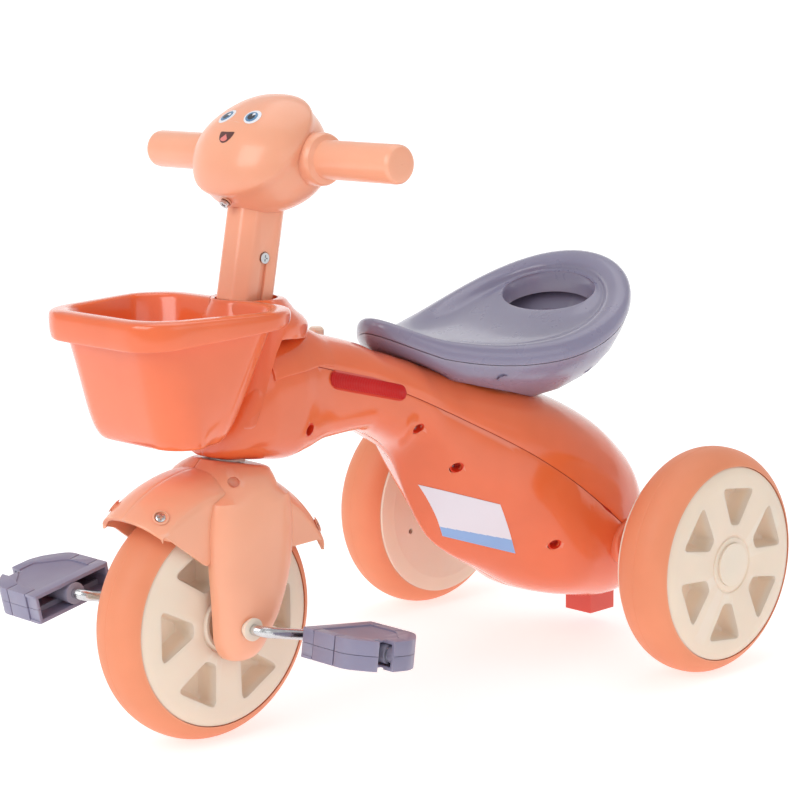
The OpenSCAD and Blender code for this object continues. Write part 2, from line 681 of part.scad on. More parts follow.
module spin_y() rotate([-90, 0, 0]) rotate_extrude($fn = 120) children();

module tyre() {
    crown = [for (i = [-12 : 12]) let (y = hub_edge_y * i / 12) [tyre_r(y), y]];
    spin_y() polygon(concat(crown, [[hub_r, hub_edge_y - 4], [hub_r + 5, hub_edge_y - 9],
        [hub_r + 5, 9 - hub_edge_y], [hub_r, 4 - hub_edge_y]]));
}

module window(r0, r1, a0, a1, c) {
    // wedge with rounded corners: a0 and a1 are its half angles at r0 and r1
    offset_steps = 6;
    arc1 = [for (i = [-offset_steps : offset_steps]) let (a = a1 * i / offset_steps) [r1 * cos(a), r1 * sin(a)]];
    arc0 = [for (i = [offset_steps : -1 : -offset_steps]) let (a = a0 * i / offset_steps) [r0 * cos(a), r0 * sin(a)]];
    linear_extrude(100) polygon(concat(arc1, arc0));
    for (s = [-1, 1])
        rotate([0, 0, s * (a1 - 3)]) translate([r1 - c, 0, 0]) cylinder(r = c, h = 100);
}

// A hub half: face towards +Y, from the middle plane out to the face.
module hub_half(face_y, edge_y, nose_y, windows, bore_r) {
    difference() {
        spin_y() polygon([
            [bore_r, 0], [bore_r, nose_y], [boss_r - 9, nose_y], [boss_r - 9, face_y - 4], [boss_r - 3, face_y - 4],
            [boss_r - 3, face_y], [boss_r, face_y], [boss_r + 10, face_y], [tyre_root_r - 1, face_y],
            [hub_r - seam_gap, edge_y], [hub_r - seam_gap, edge_y - 4], [tyre_root_r, face_y - wall - 1],
            [boss_r, face_y - wall - 1], [boss_r, 0]]);
        if (windows)
            for (i = [0 : window_count - 1])
                rotate([-90, 0, 0]) rotate([0, 0, 360 * (i + 0.25) / window_count]) window(36, 64, 11, 17, 3);
    }
}

module front_tyre() color(tyre_salmon) at_front() tyre();
module front_hub() hub_half(tyre_w / 2, hub_edge_y, arm_y - part_gap, true, rod_r);
module front_hub_left() color(hub_cream) at_front() front_hub();
module front_hub_right() color(hub_cream) at_front() mirror([0, 1, 0]) front_hub();

module rear_wheel_at(s) side(s) translate([rear_x, rear_track / 2, axle_z]) children();
module rear_hub_outer() hub_half(tyre_w / 2, hub_edge_y, tyre_w / 2 - cap_depth, true, rod_r + run_gap);
module rear_hub_inner() mirror([0, 1, 0]) difference() {
    hub_half(tyre_w / 2, hub_edge_y, tyre_w / 2, false, rod_r + run_gap);
    for (i = [0 : 3])
        rotate([0, 90 * i + 20, 0]) translate([48, 0, 0]) rod_y(2.4, 10, 60);
}
module rear_cap() difference() {
    rod_y(boss_r - 3 - seam_gap, tyre_w / 2 - 4 + seam_gap, tyre_w / 2 - 0.6);
    rod_y(boss_r - 9, tyre_w / 2 - 5, tyre_w / 2 - 2.4);
}

module left_rear_tyre() color(tyre_salmon) rear_wheel_at(1) tyre();
module left_rear_hub_outer() color(hub_cream) rear_wheel_at(1) rear_hub_outer();
module left_rear_hub_inner() color(hub_cream) rear_wheel_at(1) rear_hub_inner();
module left_rear_cap() color(hub_cream) rear_wheel_at(1) rear_cap();
module right_rear_tyre() color(tyre_salmon) rear_wheel_at(-1) tyre();
module right_rear_hub_outer() color(hub_cream) rear_wheel_at(-1) rear_hub_outer();
module right_rear_hub_inner() color(hub_cream) rear_wheel_at(-1) rear_hub_inner();
module right_rear_cap() color(hub_cream) rear_wheel_at(-1) rear_cap();

// ---- crank and pedals ----

bend_r = 8;
crank_y = arm_out_y + 2.4 + part_gap + bend_r + 1;      // plane of the crank arm
spindle_y0 = crank_y + bend_r;
pedal_y0 = spindle_y0 + 2;
pedal_y1 = pedal_y0 + pedal_w;
spindle_y1 = pedal_y1 - 6;
sleeve_r = rod_r + 4;

// Left crank in its own frame: the arm runs towards +X from the axle.
module crank_side() {
    rod_y(rod_r, -eps, crank_y - bend_r + eps);
    translate([bend_r, crank_y - bend_r, 0]) rotate([0, 0, 90]) rotate_extrude(angle = 90) translate([bend_r, 0]) circle(rod_r);
    translate([bend_r - eps, crank_y, 0]) rotate([0, 90, 0]) cylinder(r = rod_r, h = crank_len - 2 * bend_r + 2 * eps);
    translate([crank_len - bend_r, crank_y + bend_r, 0]) rotate([0, 0, -90]) rotate_extrude(angle = 90)
        translate([bend_r, 0]) circle(rod_r);
    translate([crank_len, 0, 0]) rod_y(rod_r, spindle_y0 - eps, spindle_y1);
}

module crank_axle() {
    color(steel) at_front() {
        rotate([0, 180 - crank_rest, 0]) crank_side();
        mirror([0, 1, 0]) rotate([0, -crank_rest, 0]) crank_side();
    }
}

left_spindle = [front_x - crank_len * cos(crank_rest), axle_z - crank_len * sin(crank_rest)];
right_spindle = [front_x + crank_len * cos(crank_rest), axle_z + crank_len * sin(crank_rest)];
module at_left_pedal() translate([left_spindle[0], 0, left_spindle[1]])
    rotate([0, -left_pedal_tilt, 0]) children();
module at_right_pedal() translate([right_spindle[0], 0, right_spindle[1]]) mirror([0, 1, 0])
    rotate([0, right_pedal_tilt, 0]) children();

module push_nut() difference() {
    rod_y(rod_r + 3, spindle_y1 - 2.6, spindle_y1 - 2.6 + 1.4);
    rod_y(rod_r, 0, pedal_y1);
}
module pedal_push_nuts() color(steel) { at_left_pedal() push_nut(); at_right_pedal() push_nut(); }

module pedal_outline(inset) {
    a = pedal_l / 2 - inset;
    y0 = pedal_y0 + inset;
    y1 = pedal_y1 - inset;
    polygon([[-a, y0], [a, y0], [a, y1 - 20], [a - 14, y1 - 5], [10, y1], [-10, y1], [14 - a, y1 - 5], [-a, y1 - 20]]);
}

// Upper half of a pedal: a ribbed box, open below, that closes over the sleeve.
module pedal_half() {
    h = pedal_h / 2;
    difference() {
        translate([0, 0, seam_gap / 2]) linear_extrude(h - seam_gap / 2) pedal_outline(0);
        translate([0, 0, -1]) linear_extrude(h - 1.5) pedal_outline(wall);
        translate([-pedal_l / 2 + wall, pedal_y0 - 1, -1]) cube([pedal_l - 2 * wall, wall + 3, h - 1.5]);
        for (s = [-1, 1], k = [0.25, 0.5, 0.75])
            translate([s * pedal_l / 2 - 3, pedal_y0 + (pedal_w - 20) * k - 0.75, h - 1.2]) cube([6, 1.5, 3]);
    }
    difference() {
        for (y = [pedal_y0 + 14, pedal_y0 + 44])
            translate([-pedal_l / 2 + wall - eps, y, seam_gap / 2]) cube([pedal_l - 2 * wall + 2 * eps, 2.4, h - 2]);
        rod_y(sleeve_r, 0, pedal_y1 + 20);
    }
}

module pedal_sleeve() difference() {
    rod_y(sleeve_r, spindle_y0 + 0.8, spindle_y1 - 2.6 - part_gap);
    rod_y(rod_r + run_gap, 0, pedal_y1);
}

module left_pedal_upper() color(lilac_grey) at_left_pedal() pedal_half();
module left_pedal_lower() color(lilac_grey) at_left_pedal() mirror([0, 0, 1]) pedal_half();
module left_pedal_sleeve() color(lilac_grey) at_left_pedal() pedal_sleeve();
module right_pedal_upper() color(lilac_grey) at_right_pedal() pedal_half();
module right_pedal_lower() color(lilac_grey) at_right_pedal() mirror([0, 0, 1]) pedal_half();
module right_pedal_sleeve() color(lilac_grey) at_right_pedal() pedal_sleeve();

body_left_shell();
body_right_shell();
body_top_cover();
rear_axle_housing();
tail_foot();
rear_axle();
rear_push_nuts();
rear_spacers();
neck_bush_lower();
neck_bush_upper();
neck_plug();
body_screws();
basket();
seat_top();
seat_base();
seat_screws();
reflector_left();
reflector_right();
label();
fork_left();
fork_right();
fork_screws();
fork_bushes();
steering_tube();
stem();
stem_screw();
head_front_shell();
head_rear_shell();
head_screw();
grip_left();
grip_right();
face_eyes();
face_mouth();
front_tyre();
front_hub_left();
front_hub_right();
crank_axle();
pedal_push_nuts();
left_pedal_upper();
left_pedal_lower();
left_pedal_sleeve();
right_pedal_upper();
right_pedal_lower();
right_pedal_sleeve();
left_rear_tyre();
left_rear_hub_outer();
left_rear_hub_inner();
left_rear_cap();
right_rear_tyre();
right_rear_hub_outer();
right_rear_hub_inner();
right_rear_cap();
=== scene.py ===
import math
import bmesh
import bpy
from mathutils import Matrix, Vector


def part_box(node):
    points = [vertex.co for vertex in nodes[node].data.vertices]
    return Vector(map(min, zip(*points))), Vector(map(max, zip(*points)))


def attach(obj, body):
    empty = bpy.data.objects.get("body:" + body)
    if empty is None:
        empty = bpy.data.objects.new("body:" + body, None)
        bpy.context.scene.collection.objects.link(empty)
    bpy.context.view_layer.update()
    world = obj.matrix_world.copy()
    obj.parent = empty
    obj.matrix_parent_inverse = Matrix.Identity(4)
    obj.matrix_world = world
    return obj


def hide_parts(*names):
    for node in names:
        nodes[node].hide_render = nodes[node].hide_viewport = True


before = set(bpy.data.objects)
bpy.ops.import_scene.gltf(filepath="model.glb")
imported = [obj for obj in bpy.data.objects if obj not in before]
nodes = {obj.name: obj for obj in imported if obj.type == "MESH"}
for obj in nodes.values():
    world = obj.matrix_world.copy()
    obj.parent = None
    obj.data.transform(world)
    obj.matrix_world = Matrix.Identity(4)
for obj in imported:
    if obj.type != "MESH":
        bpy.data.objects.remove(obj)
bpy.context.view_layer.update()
mm = 0.001

# main places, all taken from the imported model
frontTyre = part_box("front_tyre")
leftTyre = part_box("left_rear_tyre")
frontX = (frontTyre[0].x + frontTyre[1].x) / 2
axleZ = (frontTyre[0].z + frontTyre[1].z) / 2
wheelR = (frontTyre[1].z - frontTyre[0].z) / 2
tyreHalf = (frontTyre[1].y - frontTyre[0].y) / 2
rearX = (leftTyre[0].x + leftTyre[1].x) / 2
rearY = (leftTyre[0].y + leftTyre[1].y) / 2
rake = math.radians(11)
steerAxis = Vector((-math.sin(rake), 0, math.cos(rake)))
frontAxle = Vector((frontX, 0, axleZ))
headX = frontX - 0.160 * math.tan(rake)


def smoothCurve(knots):
    # shape-keeping cubic through (x, value) knots
    pts = sorted(knots)
    xs = [p[0] for p in pts]
    ys = [p[1] for p in pts]
    n = len(xs)
    d = [(ys[i + 1] - ys[i]) / (xs[i + 1] - xs[i]) for i in range(n - 1)]
    m = [d[0]] + [0.0] * (n - 2) + [d[-1]]
    for i in range(1, n - 1):
        if d[i - 1] * d[i] > 0:
            h0 = xs[i] - xs[i - 1]
            h1 = xs[i + 1] - xs[i]
            w1 = 2 * h1 + h0
            w2 = h1 + 2 * h0
            m[i] = (w1 + w2) / (w1 / d[i - 1] + w2 / d[i])

    def value(x):
        if x <= xs[0]:
            return ys[0]
        if x >= xs[-1]:
            return ys[-1]
        i = 0
        while x > xs[i + 1]:
            i += 1
        h = xs[i + 1] - xs[i]
        t = (x - xs[i]) / h
        a = (1 + 2 * t) * (1 - t) ** 2 * ys[i] + t * (1 - t) ** 2 * h * m[i]
        return a + t * t * (3 - 2 * t) * ys[i + 1] + t * t * (t - 1) * h * m[i + 1]
    return value


def meshPiece(name, points, faces, sharpAngle=35):
    mesh = bpy.data.meshes.new(name)
    mesh.from_pydata([tuple(p) for p in points], [], faces)
    mesh.validate()
    mesh.update()
    piece = bpy.data.objects.new(name, mesh)
    bpy.context.scene.collection.objects.link(piece)
    smooth(piece, sharpAngle)
    return piece


def smooth(piece, angle=35):
    piece.data.shade_smooth()
    piece.data.set_sharp_from_angle(angle=math.radians(angle))


def gridFaces(rows, cols, closeCols, closeRows=False):
    faces = []
    for i in range(rows if closeRows else rows - 1):
        for j in range(cols if closeCols else cols - 1):
            k = (j + 1) % cols
            a = i * cols
            b = ((i + 1) % rows) * cols
            faces.append((a + j, a + k, b + k, b + j))
    return faces


def loft(name, rings, closed=True, caps=(False, False), loop=False, sharpAngle=35):
    cols = len(rings[0])
    points = [p for ring in rings for p in ring]
    faces = gridFaces(len(rings), cols, closed, loop)
    if caps[0]:
        faces.append(tuple(reversed(range(cols))))
    if caps[1]:
        faces.append(tuple(range((len(rings) - 1) * cols, len(rings) * cols)))
    piece = meshPiece(name, points, faces, sharpAngle)
    fixNormals(piece, sharpAngle)
    return piece


def fixNormals(piece, sharpAngle=35):
    bm = bmesh.new()
    bm.from_mesh(piece.data)
    bmesh.ops.recalc_face_normals(bm, faces=bm.faces)
    bm.to_mesh(piece.data)
    bm.free()
    smooth(piece, sharpAngle)


def turned(name, profile, centre, side=1, steps=128, closed=True, sharpAngle=30):
    # profile of (radius, distance along y), turned about the y line through centre
    rings = []
    for i in range(steps):
        a = 2 * math.pi * i / steps
        rings.append([Vector((centre[0] + r * math.cos(a), centre[1] + side * y, centre[2] + r * math.sin(a)))
                      for r, y in profile])
    return loft(name, rings, closed, loop=True, sharpAngle=sharpAngle)


def applyAll(piece, sharpAngle=35):
    bpy.context.view_layer.update()
    graph = bpy.context.evaluated_depsgraph_get()
    mesh = bpy.data.meshes.new_from_object(piece.evaluated_get(graph))
    piece.modifiers.clear()
    piece.data = mesh
    smooth(piece, sharpAngle)
    return piece


def thicken(piece, depth, edge=0.0006, sharpAngle=35):
    solid = piece.modifiers.new("wall", "SOLIDIFY")
    solid.thickness = depth
    solid.offset = -1
    solid.use_even_offset = True
    if edge:
        bevel(piece, edge)
    return applyAll(piece, sharpAngle)


def bevel(piece, width, segments=2, angle=40):
    mod = piece.modifiers.new("edge", "BEVEL")
    mod.width = width
    mod.segments = segments
    mod.limit_method = "ANGLE"
    mod.angle_limit = math.radians(angle)
    mod.harden_normals = False


def cutAway(piece, cutters):
    for c in cutters:
        mod = piece.modifiers.new("cut", "BOOLEAN")
        mod.operation = "DIFFERENCE"
        mod.solver = "EXACT"
        mod.object = c
    applyAll(piece)
    for c in cutters:
        bpy.data.objects.remove(c)
    return piece


def joined(name, pieces):
    # one mesh from several
    points = []
    faces = []
    for p in pieces:
        base = len(points)
        points += [p.matrix_world @ v.co for v in p.data.vertices]
        for f in p.data.polygons:
            faces.append(tuple(base + i for i in f.vertices))
    for p in pieces:
        bpy.data.objects.remove(p)
    return meshPiece(name, points, faces)


def rod(name, a, b, radius, steps=24):
    a = Vector(a)
    b = Vector(b)
    w = (b - a).normalized()
    u = w.orthogonal().normalized()
    v = w.cross(u)
    rings = []
    for t in (a, b):
        ring = []
        for i in range(steps):
            turn = 2 * math.pi * i / steps
            ring.append(t + radius * (math.cos(turn) * u + math.sin(turn) * v))
        rings.append(ring)
    return loft(name, rings, caps=(True, True))


def mirrored(piece, name):
    points = [(v.co.x, -v.co.y, v.co.z) for v in piece.data.vertices]
    faces = [tuple(reversed(f.vertices)) for f in piece.data.polygons]
    return meshPiece(name, points, faces)


def sided(piece, side, name):
    # the piece itself on the left, its mirror image on the right
    if side > 0:
        piece.name = name + "Left"
        return piece
    other = mirrored(piece, name + "Right")
    bpy.data.objects.remove(piece)
    return other


def place(piece, body, slot, material, *stands):
    piece.data.materials.clear()
    piece.data.materials.append(material)
    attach(piece, body)
    if stands:
        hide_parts(*stands)
    return piece


def shaderNode(tree, kind, values, feeds):
    # a node with its inputs set, and fed by the outputs named in feeds
    made = tree.nodes.new("ShaderNode" + kind)
    for key, value in values.items():
        made.inputs[key].default_value = value
    for key, output in feeds.items():
        tree.links.new(output, made.inputs[key])
    return made


def plastic(name, colour, rough=0.35, tone=0.05, grain=0.02, grainSize=900, coat=0.3, scatter=0.12,
            mottleSize=14, edgePaling=0.25, bumpSize=60):
    # moulded plastic: soft colour drift, faint flow waves, fine skin grain, paler on sharp convex edges
    mat = bpy.data.materials.new(name)
    mat.use_nodes = True
    tree = mat.node_tree
    link = tree.links.new
    shader = tree.nodes["Principled BSDF"]
    spot = {"Vector": shaderNode(tree, "TexCoord", {}, {}).outputs["Object"]}
    drift = shaderNode(tree, "TexNoise", {"Scale": mottleSize, "Detail": 3}, spot)
    ramp = shaderNode(tree, "ValToRGB", {}, {"Fac": drift.outputs["Fac"]})
    dark = [max(0, c * (1 - tone)) for c in colour]
    pale = [min(1, c * (1 + tone) + 0.01) for c in colour]
    for stop, position, shade in zip(ramp.color_ramp.elements, (0.3, 0.7), (dark, pale)):
        stop.position = position
        stop.color = (*shade, 1)
    # colour mixed paler where the surface is sharply convex (pointiness)
    edge = tree.nodes.new("ShaderNodeNewGeometry")
    convexEdgeMask = shaderNode(tree, "MapRange", {"From Min": 0.53, "From Max": 0.62, "To Max": edgePaling},
                        {"Value": edge.outputs["Pointiness"]})
    edgePaleMix = tree.nodes.new("ShaderNodeMix")
    edgePaleMix.data_type = "RGBA"
    edgePaleMix.inputs["B"].default_value = (*[min(1, c * 0.6 + 0.4) for c in colour], 1)
    link(convexEdgeMask.outputs["Result"], edgePaleMix.inputs["Factor"])
    link(ramp.outputs["Color"], edgePaleMix.inputs["A"])
    link(edgePaleMix.outputs["Result"], shader.inputs["Base Color"])
    scuff = shaderNode(tree, "TexNoise", {"Scale": bumpSize, "Detail": 6}, spot)
    gloss = shaderNode(tree, "MapRange", {"To Min": rough - 0.05, "To Max": rough + 0.09},
                       {"Value": scuff.outputs["Fac"]})
    link(gloss.outputs["Result"], shader.inputs["Roughness"])
    skin = shaderNode(tree, "TexNoise", {"Scale": grainSize, "Detail": 2}, spot)
    fine = shaderNode(tree, "Bump", {"Strength": grain * 4, "Distance": 0.0003},
                      {"Height": skin.outputs["Fac"]})
    flow = shaderNode(tree, "Bump", {"Strength": 0.12, "Distance": 0.0012},
                      {"Height": drift.outputs["Fac"], "Normal": fine.outputs["Normal"]})
    link(flow.outputs["Normal"], shader.inputs["Normal"])
    for key, value in (("Coat Weight", coat), ("Coat Roughness", 0.12), ("Subsurface Weight", scatter),
                       ("Subsurface Radius", (0.012, 0.006, 0.004)), ("Subsurface Scale", 0.6)):
        shader.inputs[key].default_value = value
    return mat


def zincPlate(name):
    # bright plated steel with fine streaks along the bar
    mat = bpy.data.materials.new(name)
    mat.use_nodes = True
    tree = mat.node_tree
    link = tree.links.new
    shader = tree.nodes["Principled BSDF"]
    coords = tree.nodes.new("ShaderNodeTexCoord")
    stretch = shaderNode(tree, "Mapping", {"Scale": (1, 12, 1)}, {"Vector": coords.outputs["Object"]})
    streak = shaderNode(tree, "TexNoise", {"Scale": 160, "Detail": 5}, {"Vector": stretch.outputs["Vector"]})
    ramp = shaderNode(tree, "ValToRGB", {}, {"Fac": streak.outputs["Fac"]})
    ramp.color_ramp.elements[0].color = (0.5, 0.51, 0.53, 1)
    ramp.color_ramp.elements[1].color = (0.78, 0.79, 0.8, 1)
    link(ramp.outputs["Color"], shader.inputs["Base Color"])
    rough = shaderNode(tree, "MapRange", {"To Min": 0.16, "To Max": 0.34}, {"Value": streak.outputs["Fac"]})
    link(rough.outputs["Result"], shader.inputs["Roughness"])
    bump = shaderNode(tree, "Bump", {"Strength": 0.08, "Distance": 0.0004}, {"Height": streak.outputs["Fac"]})
    link(bump.outputs["Normal"], shader.inputs["Normal"])
    shader.inputs["Metallic"].default_value = 1.0
    return mat


def ribbedRed(name):
    mat = plastic(name, (0.55, 0.003, 0.002), rough=0.3, tone=0.12, grain=0.0, coat=0.05, scatter=0.0,
                  edgePaling=0.0)
    tree = mat.node_tree
    coords = tree.nodes.new("ShaderNodeTexCoord")
    ribs = shaderNode(tree, "TexWave", {"Scale": 190, "Distortion": 0.2},
                      {"Vector": coords.outputs["Object"]})
    ribs.bands_direction = "X"
    bump = shaderNode(tree, "Bump", {"Strength": 0.35, "Distance": 0.0005}, {"Height": ribs.outputs["Fac"]})
    tree.links.new(bump.outputs["Normal"], tree.nodes["Principled BSDF"].inputs["Normal"])
    return mat


finishes = {
    "shell": (0.85, 0.15, 0.038), "shadedShell": (0.72, 0.038, 0.008), "peach": (0.93, 0.415, 0.255),
    "tyre": (0.82, 0.275, 0.135), "cream": (0.86, 0.70, 0.56), "lilac": (0.250, 0.232, 0.345),
}
orange = plastic("orangePlastic", finishes["shell"], rough=0.2, coat=0.75, tone=0.06)
# darker orange: painted shade, used in the body's screw wells, the seam lip, the reflector's rim and the tail
# foot
shadedOrange = plastic("paintedShadeOrange", finishes["shadedShell"], rough=0.3, coat=0.05)
peach = plastic("peachPlastic", finishes["peach"], rough=0.3, coat=0.35, tone=0.04)
tyreSkin = plastic("tyreSkin", finishes["tyre"], rough=0.5, coat=0.0, tone=0.05, grain=0.05, grainSize=1400)
cream = plastic("creamPlastic", finishes["cream"], rough=0.4, coat=0.15, tone=0.04, scatter=0.2)
lilac = plastic("lilacPlastic", finishes["lilac"], rough=0.27, coat=0.6, tone=0.05, grain=0.03)
lilacDark = plastic("lilacGrained", finishes["lilac"], rough=0.44, coat=0.05, tone=0.06, grain=0.08)
red = ribbedRed("ribbedRed")
for material in (red, shadedOrange):
    material.node_tree.nodes["Principled BSDF"].inputs["Specular IOR Level"].default_value = 0.22
steel = zincPlate("zincSteel")
filmWhite = plastic("filmWhite", (0.80, 0.78, 0.86), rough=0.3, tone=0.02, coat=0.4, scatter=0.0)
filmBlue = plastic("filmBlue", (0.26, 0.45, 0.80), rough=0.3, tone=0.05, coat=0.4, scatter=0.0)
eyeWhite = plastic("eyeWhite", (0.86, 0.87, 0.93), rough=0.25, tone=0.02, coat=0.6, scatter=0.0)
eyeBlue = plastic("eyeBlue", (0.10, 0.24, 0.42), rough=0.22, tone=0.35, coat=0.6, scatter=0.0, mottleSize=700)
eyeDark = plastic("eyeDark", (0.01, 0.015, 0.03), rough=0.2, tone=0.1, coat=0.6, scatter=0.0)
mouthDark = plastic("mouthDark", (0.10, 0.02, 0.015), rough=0.3, tone=0.1, coat=0.5, scatter=0.0)
mouthPink = plastic("mouthPink", (0.80, 0.22, 0.20), rough=0.3, tone=0.1, coat=0.5, scatter=0.0)
print("materials made")


# crownGap: how far up the steering axis the body starts, above the turning fork
body = {"exponent": 2.8, "wall": 0.003, "edge": 0.0009, "stations": 150, "sidePoints": 44, "coverPoints": 56,
        "seamGap": 0.00025, "crownGap": 0.1153, "wellR": 0.0044, "wellDepth": 0.0075, "coverLift": 0.0011}
neckRows = [[31, 214, 218, 2], [29, 208, 226, 16], [24, 206, 240, 26], [16, 204, 262, 34], [6, 203, 279, 40],
            [-8, 201, 288, 43], [-32, 198, 292, 42], [-50, 201, 293, 39], [-72, 207, 286, 37],
            [-112, 209, 274, 37]]
tankRows = [[227, 204, 268, 38], [214, 197, 264, 39], [202, 189, 260, 40], [192, 178, 257, 41],
            [184, 160, 254, 42], [177, 145, 252, 43], [167, 127, 249, 46], [154, 109, 246, 49],
            [132, 92, 240, 57], [98, 73, 231, 69], [54, 49, 216, 76], [14, 38, 196, 77], [-14, 33, 175, 73],
            [-36, 33, 154, 62], [-52, 44, 130, 46], [-61, 66, 110, 28], [-64, 86, 90, 2]]
keelRows = [[rearX - 0.1, 0], [rearX + 0.03, 0], [rearX + 0.098, 0.6], [rearX + 0.154, 0.9],
            [rearX + 0.184, 0.9], [rearX + 0.214, 0], [rearX + 0.5, 0]]
bodyRows = [[headX + r[0] * mm, r[1] * mm, r[2] * mm, r[3] * mm] for r in neckRows]
bodyRows += [[rearX + r[0] * mm, r[1] * mm, r[2] * mm, r[3] * mm] for r in tankRows]
bodyLow = smoothCurve([(r[0], r[1]) for r in bodyRows])
bodyHigh = smoothCurve([(r[0], r[2]) for r in bodyRows])
bodyHalf = smoothCurve([(r[0], r[3]) for r in bodyRows])
noseX = headX + 0.031
tailX = rearX - 0.064


def spow(v, p):
    return math.copysign(abs(v) ** p, v)


keelCurve = smoothCurve(keelRows)


def keelPinch(x, v):
    # the tank's lower half draws in to a keel in front of the axle
    return 1 - keelCurve(x) * max(0.0, v) ** 1.3


def bodyPoint(x, angle, grow=0.0):
    low = bodyLow(x)
    high = bodyHigh(x)
    a = bodyHalf(x) + grow
    b = (high - low) / 2 + grow
    e = 2 / body["exponent"]
    rise = spow(math.sin(angle), e)
    p = Vector((x, a * spow(math.cos(angle), e) * keelPinch(x, -rise), (low + high) / 2 + b * rise))
    s = (p - frontAxle).dot(steerAxis)
    if x > headX - 0.1 and s < body["crownGap"]:
        p += steerAxis * (body["crownGap"] - s)
    return p


def sideY(x, z):
    low = bodyLow(x)
    high = bodyHigh(x)
    v = max(-1, min(1, ((low + high) / 2 - z) / ((high - low) / 2)))
    return bodyHalf(x) * (1 - abs(v) ** body["exponent"]) ** (1 / body["exponent"]) * keelPinch(x, v)


seamPoints = [(headX - 0.057, 0.265), (rearX + 0.135, 0.196), (rearX - 0.010, 0.093)]


def seamZ(x):
    (x0, z0), (x1, z1), (x2, z2) = seamPoints
    m1 = (z0 - z1) / (x0 - x1)
    m2 = (z1 - z2) / (x1 - x2)
    return z0 + m1 * (x - x0) + (m1 - m2) / (x0 - x2) * (x - x0) * (x - x1)


def seamAngle(x):
    coverFront = headX - 0.030
    coverOpen = headX - 0.050
    if x >= coverFront:
        return math.pi / 2
    xs = min(x, coverOpen)
    low = bodyLow(xs)
    high = bodyHigh(xs)
    v = (seamZ(xs) - (low + high) / 2) / ((high - low) / 2)
    v = max(-0.5, min(0.92, v))
    a = math.asin(spow(v, body["exponent"] / 2))
    if x <= coverOpen:
        return a
    return a + (math.pi / 2 - a) * (x - coverOpen) / (coverFront - coverOpen)


def stationList(x0, x1, n):
    return [x0 + (x1 - x0) * (0.5 - 0.5 * math.cos(math.pi * i / n)) for i in range(n + 1)]


def wellCutter(x, z, radius, side):
    y = sideY(x, z)
    return rod("cutter", (x, side * (y - 0.02), z), (x, side * (y + 0.02), z), radius)


screwSpots = [(0.312, 0.222), (0.196, 0.206), (0.163, 0.172), (0.071, 0.098)]


def screwWell(name, centre, out, radius, depth, material, bodyName, slot):
    # a moulded cup: lip, wall and floor around a recessed screw
    out = Vector(out).normalized()
    u = out.orthogonal().normalized()
    v = out.cross(u)
    rings = []
    for r, d in ((radius + 0.0012, -0.0004), (radius, -0.0001), (radius - 0.0003, -0.001),
                 (radius - 0.0005, -depth), (radius - 0.0012, -depth - 0.0002), (0.0002, -depth - 0.0002)):
        rings.append([centre + d * out + r * (math.cos(math.pi * i / 12) * u + math.sin(math.pi * i / 12) * v)
                      for i in range(24)])
    piece = loft(name, rings)
    place(piece, bodyName, slot, material)
    return piece


def screwHead(name, centre, out, radius):
    # pan head with a cross recess, standing on centre and facing out
    rings = []
    for r, z in ((1.0, 0.0), (1.0, 0.35), (0.93, 0.48), (0.78, 0.57), (0.5, 0.63), (0.2, 0.65), (0.02, 0.65)):
        rings.append([Vector((r * radius * math.cos(math.pi * i / 16),
                              r * radius * math.sin(math.pi * i / 16), z * radius))
                      for i in range(32)])
    piece = loft(name, rings, caps=(True, True))
    w = radius * 0.13
    d = radius * 0.62
    cuts = []
    for a, b in ((w, d), (d, w)):
        corners = [(-a, -b), (a, -b), (a, b), (-a, b)]
        cuts.append(loft("cross", [[Vector((x, y, z)) for x, y in corners] for z in (radius * 0.3, radius)],
                         caps=(True, True)))
    cutAway(piece, cuts)
    turn = Vector(out).normalized().to_track_quat("Z", "Y").to_matrix().to_4x4()
    piece.data.transform(Matrix.Translation(centre) @ turn)
    return piece


